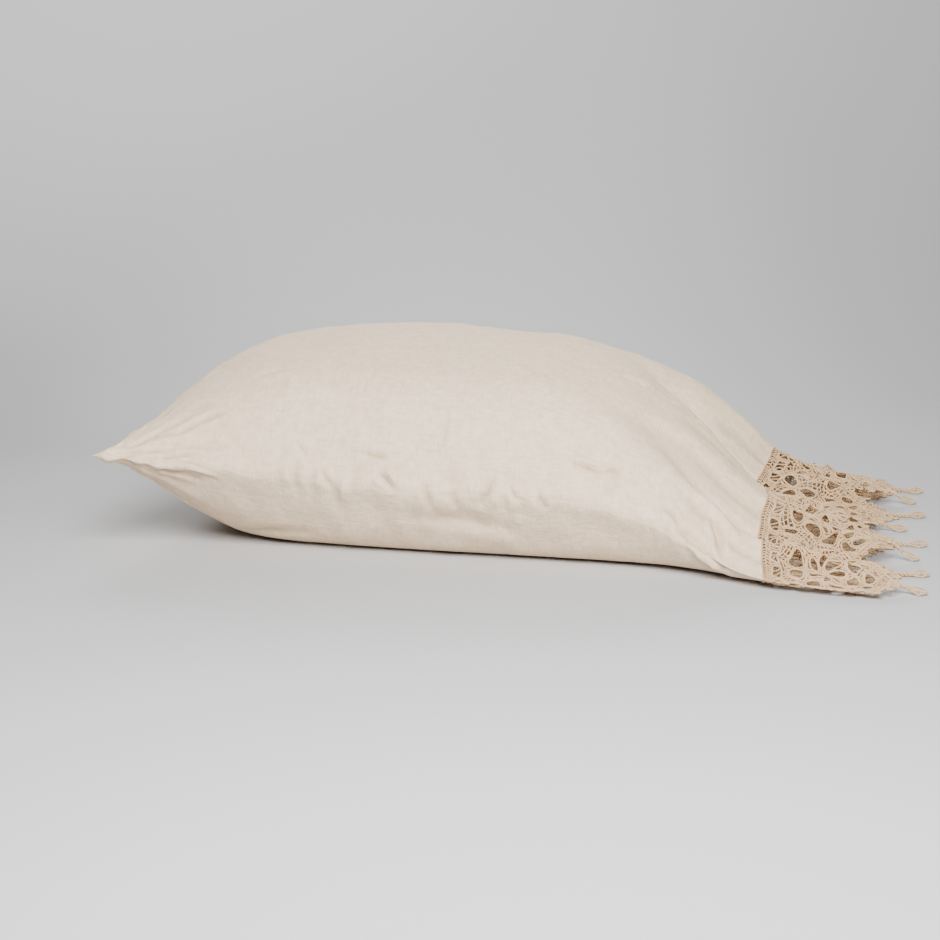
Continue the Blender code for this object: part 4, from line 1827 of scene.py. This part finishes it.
@dataclass
class LaceCloth:
    """The surface that the lace lies on: the case's form past its seam, rippled a little."""

    form: CaseForm
    relief: ClothRelief
    repeats: int = 8
    phase: float = 0.25
    starts: float = -0.006
    rows: int = 132
    columns: int = 1440
    wall: float = 0.0008
    wander: float = 0.0023
    swell: float = 0.0056
    crimp: float = 0.0026
    swell_length: float = 0.060
    crimp_length: float = 0.026
    lower_share: float = -0.3
    points: Array = field(init=False)
    normals: Array = field(init=False)

    def __post_init__(self) -> None:
        """Works out the table of places and normals that cords are laid on."""
        runs = self.form.case_run + np.linspace(self.starts, self.form.lace_depth, self.rows)
        turns = np.arange(self.columns) / self.columns
        points = self.form.surface(runs, turns)
        normals = outward(points)
        rise = self.relief.gathers(runs[:, None], turns[None, :])
        free = smooth(self.form.case_run + 0.004, self.form.case_run + 0.04, runs)[:, None]
        free = free * smooth(0.0, 0.03, self.form.from_seam(turns))[None, :]
        wave = self.swell * (0.5 + 0.5 * ripples(points, self.swell_length, 51))
        wave = np.maximum(wave + self.crimp * ripples(points, self.crimp_length, 52), 0.0)
        folds = self.relief.creases(runs[:, None], turns[None, :], LACE_FOLDS)
        is_upper = turns[None, :] < 0.5
        rise = rise + np.where(is_upper, wave + folds, self.lower_share * wave) * free
        self.points = points + normals * (rise - self.wall)[..., None]
        self.normals = outward(self.points)

    def sample(self, table: Array, around: Array, v: Array) -> Array:
        """Values of a table between its rows and columns, straight on past its last row.

        Args:
            table: (rows, columns, 3) values.
            around: (points,) places along the seam, in repeats.
            v: (points,) places down from the seam.

        Returns:
            (points, 3) values.
        """
        row = (v - self.starts) / (self.form.lace_depth - self.starts) * (self.rows - 1)
        column = np.mod((self.phase + around) / self.repeats, 1.0) * self.columns
        i = np.clip(np.floor(row).astype(int), 0, self.rows - 2)
        j = np.floor(column).astype(int) % self.columns
        a, b = (row - i)[:, None], (column - np.floor(column))[:, None]
        k = (j + 1) % self.columns
        first = table[i, j] * (1 - b) + table[i, k] * b
        second = table[i + 1, j] * (1 - b) + table[i + 1, k] * b
        return first * (1 - a) + second * a

    def lay(self, skein: Skein, repeat: int, pitch: float) -> tuple[Array, Array]:
        """Where a flat skein lies as one of the repeats.

        Its flat places first wander by a few low waves with whole numbers of turns round the
        mouth, so that no two repeats are alike and all of them join.

        Args:
            skein: the flat skein.
            repeat: which repeat it is.
            pitch: the length of a repeat along the seam.

        Returns:
            (points, 3) places of the cords' middles, and the cloth's normals there.
        """
        around = repeat + skein.places[:, 0] / pitch
        v = skein.places[:, 1]
        turn = tau * around / self.repeats
        angle = np.stack((np.cos(turn), np.sin(turn)), axis=1) * self.repeats * pitch / tau
        place = np.concatenate((angle, v[:, None]), axis=1)
        free = 0.3 + 0.7 * smooth(0.0, 0.02, v)
        aside = self.wander * (ripples(place, 0.028, 61) + 0.5 * ripples(place, 0.011, 62))
        down = self.wander * (ripples(place, 0.026, 63) + 0.5 * ripples(place, 0.012, 64))
        around, v = around + aside * free / pitch, v + down * free
        normals = unit(self.sample(self.normals, around, v))
        points = self.sample(self.points, around, v) + normals * skein.lift[:, None]
        points[:, 2] = np.maximum(points[:, 2], skein.height + LEAST_LIFT)
        return points, normals


@dataclass
class CrochetBand:
    """The crochet lace: cords swept along the pattern's lines, in four parts of two repeats."""

    cloth: LaceCloth
    pattern: CrochetPattern
    sides: int = 5
    slimmer: float = 0.83

    def rings(self, skein: Skein, middles: Array, normals: Array) -> Array:
        """A ring round each point of a skein: middle + width cos(a) side + height sin(a) up.

        Side is the cord's direction crossed with the cloth's normal.

        Args:
            skein: the skein.
            middles: (points, 3) places of its cords' middles.
            normals: the cloth's normals there.

        Returns:
            (points times sides, 3) places.
        """
        angle = tau * np.arange(self.sides) / self.sides
        numbers = np.arange(len(middles))
        before = np.where(skein.before < 0, numbers, skein.before)
        after = np.where(skein.after < 0, numbers, skein.after)
        ahead = unit(middles[after] - middles[before])
        side = unit(np.cross(ahead, normals))
        up = np.cross(side, ahead)
        width = self.slimmer * skein.width[:, None] * np.cos(angle)
        height = self.slimmer * skein.height[:, None] * np.sin(angle)
        ring = middles[:, None, :] + width[..., None] * side[:, None, :]
        return (ring + height[..., None] * up[:, None, :]).reshape(-1, 3)

    def skin(self, skein: Skein) -> tuple[Array, Array]:
        """The quads from each ring to the next, and where they lie on the yarn's UV map.

        Args:
            skein: the skein.

        Returns:
            (quads, 4) point numbers, and (corners, 2) turns and lengths.
        """
        corner = np.arange(self.sides)
        turned = (corner + 1) % self.sides
        joined = np.flatnonzero(skein.after >= 0)
        here = (joined * self.sides)[:, None] + corner
        there = (skein.after[joined] * self.sides)[:, None] + corner
        quads = np.stack((here, there, there[:, turned], here[:, turned]), axis=-1)
        length = skein.along[joined][:, None]
        shares = np.arange(self.sides + 1) / self.sides
        flat = np.empty((len(joined), self.sides, 4, 2))
        flat[..., 0, 0] = flat[..., 1, 0] = shares[:-1]
        flat[..., 2, 0] = flat[..., 3, 0] = shares[1:]
        flat[..., 0, 1] = flat[..., 3, 1] = length
        flat[..., 1, 1] = flat[..., 2, 1] = length + STEP
        return quads.reshape(-1, 4), flat.reshape(-1, 2)

    def caps(self, skein: Skein) -> tuple[Array, Array]:
        """The caps of the open cords, and where they lie on the yarn's UV map.

        Args:
            skein: the skein.

        Returns:
            (caps, sides) point numbers, and (corners, 2) turns and lengths.
        """
        corner = np.arange(self.sides)
        caps, flat = [], []
        for is_end, order in ((skein.before < 0, corner), (skein.after < 0, corner[::-1])):
            ends = np.flatnonzero(is_end)
            caps.append((ends * self.sides)[:, None] + order)
            flat.append(np.repeat(skein.along[ends], self.sides)[:, None] * (0.0, 1.0))
        return np.concatenate(caps), np.concatenate(flat)

    def sweep(
        self, name: str, skeins: list[tuple[Skein, Array, Array]], finish: Material
    ) -> Piece:
        """Tubes along skeins that lie in place.

        Args:
            name: the piece's name.
            skeins: each a skein with its middles and its normals.
            finish: its material.

        Returns:
            The piece.
        """
        rings = [self.rings(*laid) for laid in skeins]
        firsts = np.cumsum([0] + [len(ring) for ring in rings])
        skins = [self.skin(skein) for skein, _, _ in skeins]
        caps = [self.caps(skein) for skein, _, _ in skeins]
        polygons = [
            np.concatenate([part + first for (part, _), first in zip(parts, firsts)])
            for parts in (skins, caps)
        ]
        piece = new_mesh(name, np.concatenate(rings), polygons, finish)
        lay_uv(piece, "yarn", np.concatenate([flat for _, flat in skins + caps]))
        tints = [np.repeat(skein.tint, self.sides) for skein, _, _ in skeins]
        lay_value(piece, "tint", np.concatenate(tints))
        return piece

    def build(self, finish: Material) -> list[Piece]:
        """The four parts of the band, from the near side of the upper layer round.

        Args:
            finish: the yarn's material.

        Returns:
            The pieces.
        """
        cords = self.pattern.repeat()
        names = ("lace_upper_near", "lace_upper_far", "lace_lower_far", "lace_lower_near")
        pieces = []
        for number, name in enumerate(names):
            laid = []
            for repeat in (2 * number, 2 * number + 1):
                skein = Skein.wind(cords, 70 + repeat)
                laid.append((skein, *self.cloth.lay(skein, repeat, self.pattern.pitch)))
            pieces.append(self.sweep(name, laid, finish))
        return pieces


@dataclass
class Drop:
    """One drop at a scallop tip: two strands twisted into a stem, and a leaf on its end."""

    band: CrochetBand
    repeat: int
    heading: float
    name: str
    length: float = 0.031
    fall: float = 0.9
    follows: float = 0.3
    back: float = 0.010
    stem_share: float = 0.54
    strand: float = 0.0013
    coil: float = 0.0013
    coils: float = 2.4
    leaf_width: float = 0.0046
    leaf_tilt: float = 28.0
    leaf_waves: float = 2.5
    leaf_rows: int = 14
    leaf_round: float = 0.8
    leaf_cord: float = 0.0010
    leaf_rib: float = 0.0009
    wave_cord: float = 0.0008
    spacing: float = 0.0011
    steps: int = 34
    inside: float = 0.08

    def middle_line(self) -> tuple[Array, Array, Array]:
        """The line from the scallop tip down to the floor, its heading and the way across it.

        Returns:
            (steps, 3) points, and the two directions.
        """
        cloth, pattern = self.band.cloth, self.band.pattern
        around = np.array((float(self.repeat),) * 2)
        v = np.array((pattern.depth - self.back, pattern.depth))
        before, tip = cloth.sample(cloth.points, around, v)
        ahead = tip - before
        ahead[2] = 0.0
        straight = np.array((cos(self.heading), sin(self.heading), 0.0))
        ahead = unit(straight * (1 - self.follows) + unit(ahead) * self.follows)
        share = self.shares()
        line = tip + ahead * (share * self.length)[:, None]
        rest = self.strand + self.coil
        line[:, 2] = rest + max(tip[2] - rest, 0.0) * (1 - smooth(0.0, self.fall, share))
        return line, ahead, np.array((-ahead[1], ahead[0], 0.0))

    def shares(self) -> Array:
        """Shares of the drop's length, from a little inside the lace to its end."""
        return np.linspace(-self.inside, 1.0, self.steps)

    def strands(self, line: Array, aside: Array) -> list[Cord]:
        """The stem's two strands: the line + coil (cos(a) across + sin(a) up), a growing along.

        Args:
            line: the drop's middle line.
            aside: the way across it.

        Returns:
            The cords.
        """
        stem = line[self.shares() <= self.stem_share]
        turn = tau * self.coils * np.linspace(0.0, 1.0, len(stem))
        cords = []
        for start in (0.0, pi):
            wound = np.cos(turn + start)[:, None] * aside + np.sin(turn + start)[:, None] * UP
            strand = evenly(stem + self.coil * wound, self.spacing)
            cords.append(Cord(strand, self.strand, self.strand))
        return cords

    def leaf(self, line: Array, aside: Array) -> list[Cord]:
        """The leaf: its outline, a wave from side to side of it, and a rib down its middle.

        Its half width is sin(pi share)^round, and it is tilted so that its far side is raised.

        Args:
            line: the drop's middle line.
            aside: the way across it.

        Returns:
            The cords.
        """
        numbers = np.arange(len(line))
        first = np.interp(self.stem_share - 0.05, self.shares(), numbers)
        along = np.linspace(0.0, 1.0, self.leaf_rows)
        rows = first + along * (len(line) - 1 - first)
        spine = np.stack([np.interp(rows, numbers, line[:, i]) for i in range(3)], 1)
        tilt = radians(self.leaf_tilt)
        over = cos(tilt) * aside + sin(tilt) * UP
        settled = smooth(0.0, 0.4, along)
        spine[:, 2] += (sin(tilt) * self.leaf_width - self.coil * 0.7) * settled
        rounded = np.sin(pi * np.clip(along, 0.02, 0.99)) ** self.leaf_round
        wide = self.leaf_width * rounded
        outline = np.concatenate(
            (spine + wide[:, None] * over, (spine - wide[:, None] * over)[::-1])
        )
        outline = evenly(outline, self.spacing, closed=True)
        wave = (wide * np.sin(tau * self.leaf_waves * along))[:, None] * over
        wave = evenly(spine + 0.8 * wave, self.spacing)
        rib = evenly(spine, 0.0012)
        return [
            Cord(outline, self.leaf_cord, self.leaf_cord, closed=True, beads=0.15),
            Cord(wave, self.wave_cord, self.wave_cord),
            Cord(rib, self.leaf_cord, self.leaf_rib),
        ]

    def build(self, finish: Material) -> Piece:
        """The drop's piece.

        Args:
            finish: the yarn's material.

        Returns:
            The piece.
        """
        line, ahead, aside = self.middle_line()
        skein = Skein.wind(self.strands(line, aside) + self.leaf(line, aside), 90 + self.repeat)
        middles = skein.places.copy()
        middles[:, 2] = np.maximum(middles[:, 2], skein.height + LEAST_LIFT)
        normals = np.tile(UP + 0.15 * ahead, (len(middles), 1))
        return self.band.sweep(self.name, [(skein, middles, normals)], finish)


@dataclass(frozen=True)
class StudioFinish:
    """Plain painted paper for the floor and the wall behind."""

    name: str = "studio_paper"
    colour: Triple = (0.50, 0.4955, 0.4945)
    roughness: float = 0.75

    def make(self) -> Material:
        """The paper's material.

        Returns:
            The material.
        """
        material = bpy.data.materials.new(self.name)
        material.use_nodes = True
        shader = material.node_tree.nodes["Principled BSDF"]
        shader.inputs["Base Color"].default_value = (*self.colour, 1.0)
        shader.inputs["Roughness"].default_value = self.roughness
        shader.inputs["Specular IOR Level"].default_value = 0.2
        return material


@dataclass
class Studio:
    """A pale sweep, four soft lights, an even light all round and the camera."""

    azimuth: float = 13.0
    elevation: float = 12.0
    distance: float = 2.5
    target: Triple = (-0.078, 0.0, 0.048)
    lens: float = 94.9
    half_width: float = 9.0
    front: float = -8.0
    back: float = 0.7
    bend: float = 1.6
    wall: float = 4.0
    even_colour: Triple = (0.95, 0.97, 1.0)
    even_strength: float = 0.14

    def sweep(self, finish: Material) -> Piece:
        """The floor, which bends up into the wall: flat, then a quarter circle, then upright.

        Args:
            finish: the paper's material.

        Returns:
            The piece.
        """
        angle = np.linspace(0.0, pi / 2, 25)
        y = np.concatenate(((self.front,), self.back + self.bend * np.sin(angle)))
        z = np.concatenate(((0.0,), self.bend * (1 - np.cos(angle))))
        y, z = np.append(y, y[-1]), np.append(z, self.wall)
        x = np.array((-self.half_width, self.half_width))
        points = np.stack(np.broadcast_arrays(x[None, :], y[:, None], z[:, None]), axis=-1)
        row = 2 * np.arange(len(y) - 1)[:, None]
        quads = row + np.array((0, 1, 3, 2))
        return new_mesh("floor_sweep", points.reshape(-1, 3), [quads], finish)

    def aim(self, thing: Piece, place: Vector, target: Vector) -> None:
        """Puts a light or the camera at a place and turns it to a target.

        Args:
            thing: the light or the camera.
            place: where it stands.
            target: what it looks at.
        """
        thing.location = place
        thing.rotation_mode = "QUATERNION"
        thing.rotation_quaternion = (target - place).to_track_quat("-Z", "Y")
        bpy.context.scene.collection.objects.link(thing)

    def light(self, name: str, size: float, power: float, spread: float) -> Piece:
        """A square soft light, its beam as wide as spread in degrees.

        Args:
            name: the light's name.
            size: its side in metres.
            power: its power in watts.
            spread: its beam's width in degrees.

        Returns:
            The light, which has no place yet.
        """
        lamp = bpy.data.lights.new(name, "AREA")
        lamp.shape = "SQUARE"
        lamp.size = size
        lamp.energy = power
        lamp.spread = radians(spread)
        return bpy.data.objects.new(name, lamp)

    def build(self) -> None:
        """The sweep, the lights, the even light all round and the camera."""
        self.sweep(StudioFinish().make())
        for name, place, target, size, power, spread in LIGHTS:
            self.aim(self.light(name, size, power, spread), Vector(place), Vector(target))
        world = bpy.data.worlds.new("studio")
        world.use_nodes = True
        background = world.node_tree.nodes["Background"]
        background.inputs["Color"].default_value = (*self.even_colour, 1.0)
        background.inputs["Strength"].default_value = self.even_strength
        bpy.context.scene.world = world
        azimuth, elevation = radians(self.azimuth), radians(self.elevation)
        back = Vector(
            (sin(azimuth) * cos(elevation), -cos(azimuth) * cos(elevation), sin(elevation))
        )
        lens = bpy.data.cameras.new("camera")
        lens.lens = self.lens
        lens.sensor_width = 36.0
        lens.clip_end = 60.0
        camera = bpy.data.objects.new("camera", lens)
        target = Vector(self.target)
        self.aim(camera, target + back * self.distance, target)
        bpy.context.scene.camera = camera


def declare_linen(piece: Piece) -> None:
    """The linen cover stands for its solid: it joins the root body, and the solid is hidden.

    Args:
        piece: the cover.
    """
    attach(piece, "root")
    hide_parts("linen_case")


def build_drops(band: CrochetBand, finish: Material) -> list[Piece]:
    """The eight drops, each standing for its solid.

    Args:
        band: the crochet band that they hang from.
        finish: the yarn's material.

    Returns:
        The drops' pieces, from the near side of the upper layer round.
    """
    pieces = []
    for repeat in range(8):
        layer = "top" if repeat < 4 else "bottom"
        node = f"lace_drop_{layer}_{repeat % 4 + 1}"
        drop = Drop(band, repeat, radians(HEADINGS[repeat % 4]), f"{node}_yarn")
        piece = drop.build(finish)
        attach(piece, "root")
        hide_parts(node)
        pieces.append(piece)
        LOG.info("%s: %d faces", piece.name, len(piece.data.polygons))
    return pieces


def main() -> None:
    """Builds the linen, the lace, its drops and the studio, in that order."""
    logging.basicConfig(level=logging.INFO, format="%(name)s: %(message)s")
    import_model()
    form = CaseForm()
    relief = ClothRelief(form)
    linen = LinenCase(form, relief).build(LinenFinish().make())
    declare_linen(linen)
    LOG.info("%s: %d faces", linen.name, len(linen.data.polygons))
    yarn = CrochetFinish().make()
    pattern = CrochetPattern()
    band = CrochetBand(LaceCloth(form, relief), pattern)
    parts = band.build(yarn)
    drops = build_drops(band, yarn)
    for number, part in enumerate(parts):
        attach(part, "root")
        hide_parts("lace_band")
        LOG.info("%s: %d faces", part.name, len(part.data.polygons))
    Studio().build()
    bpy.context.view_layer.update()


if __name__ == "__main__":
    main()
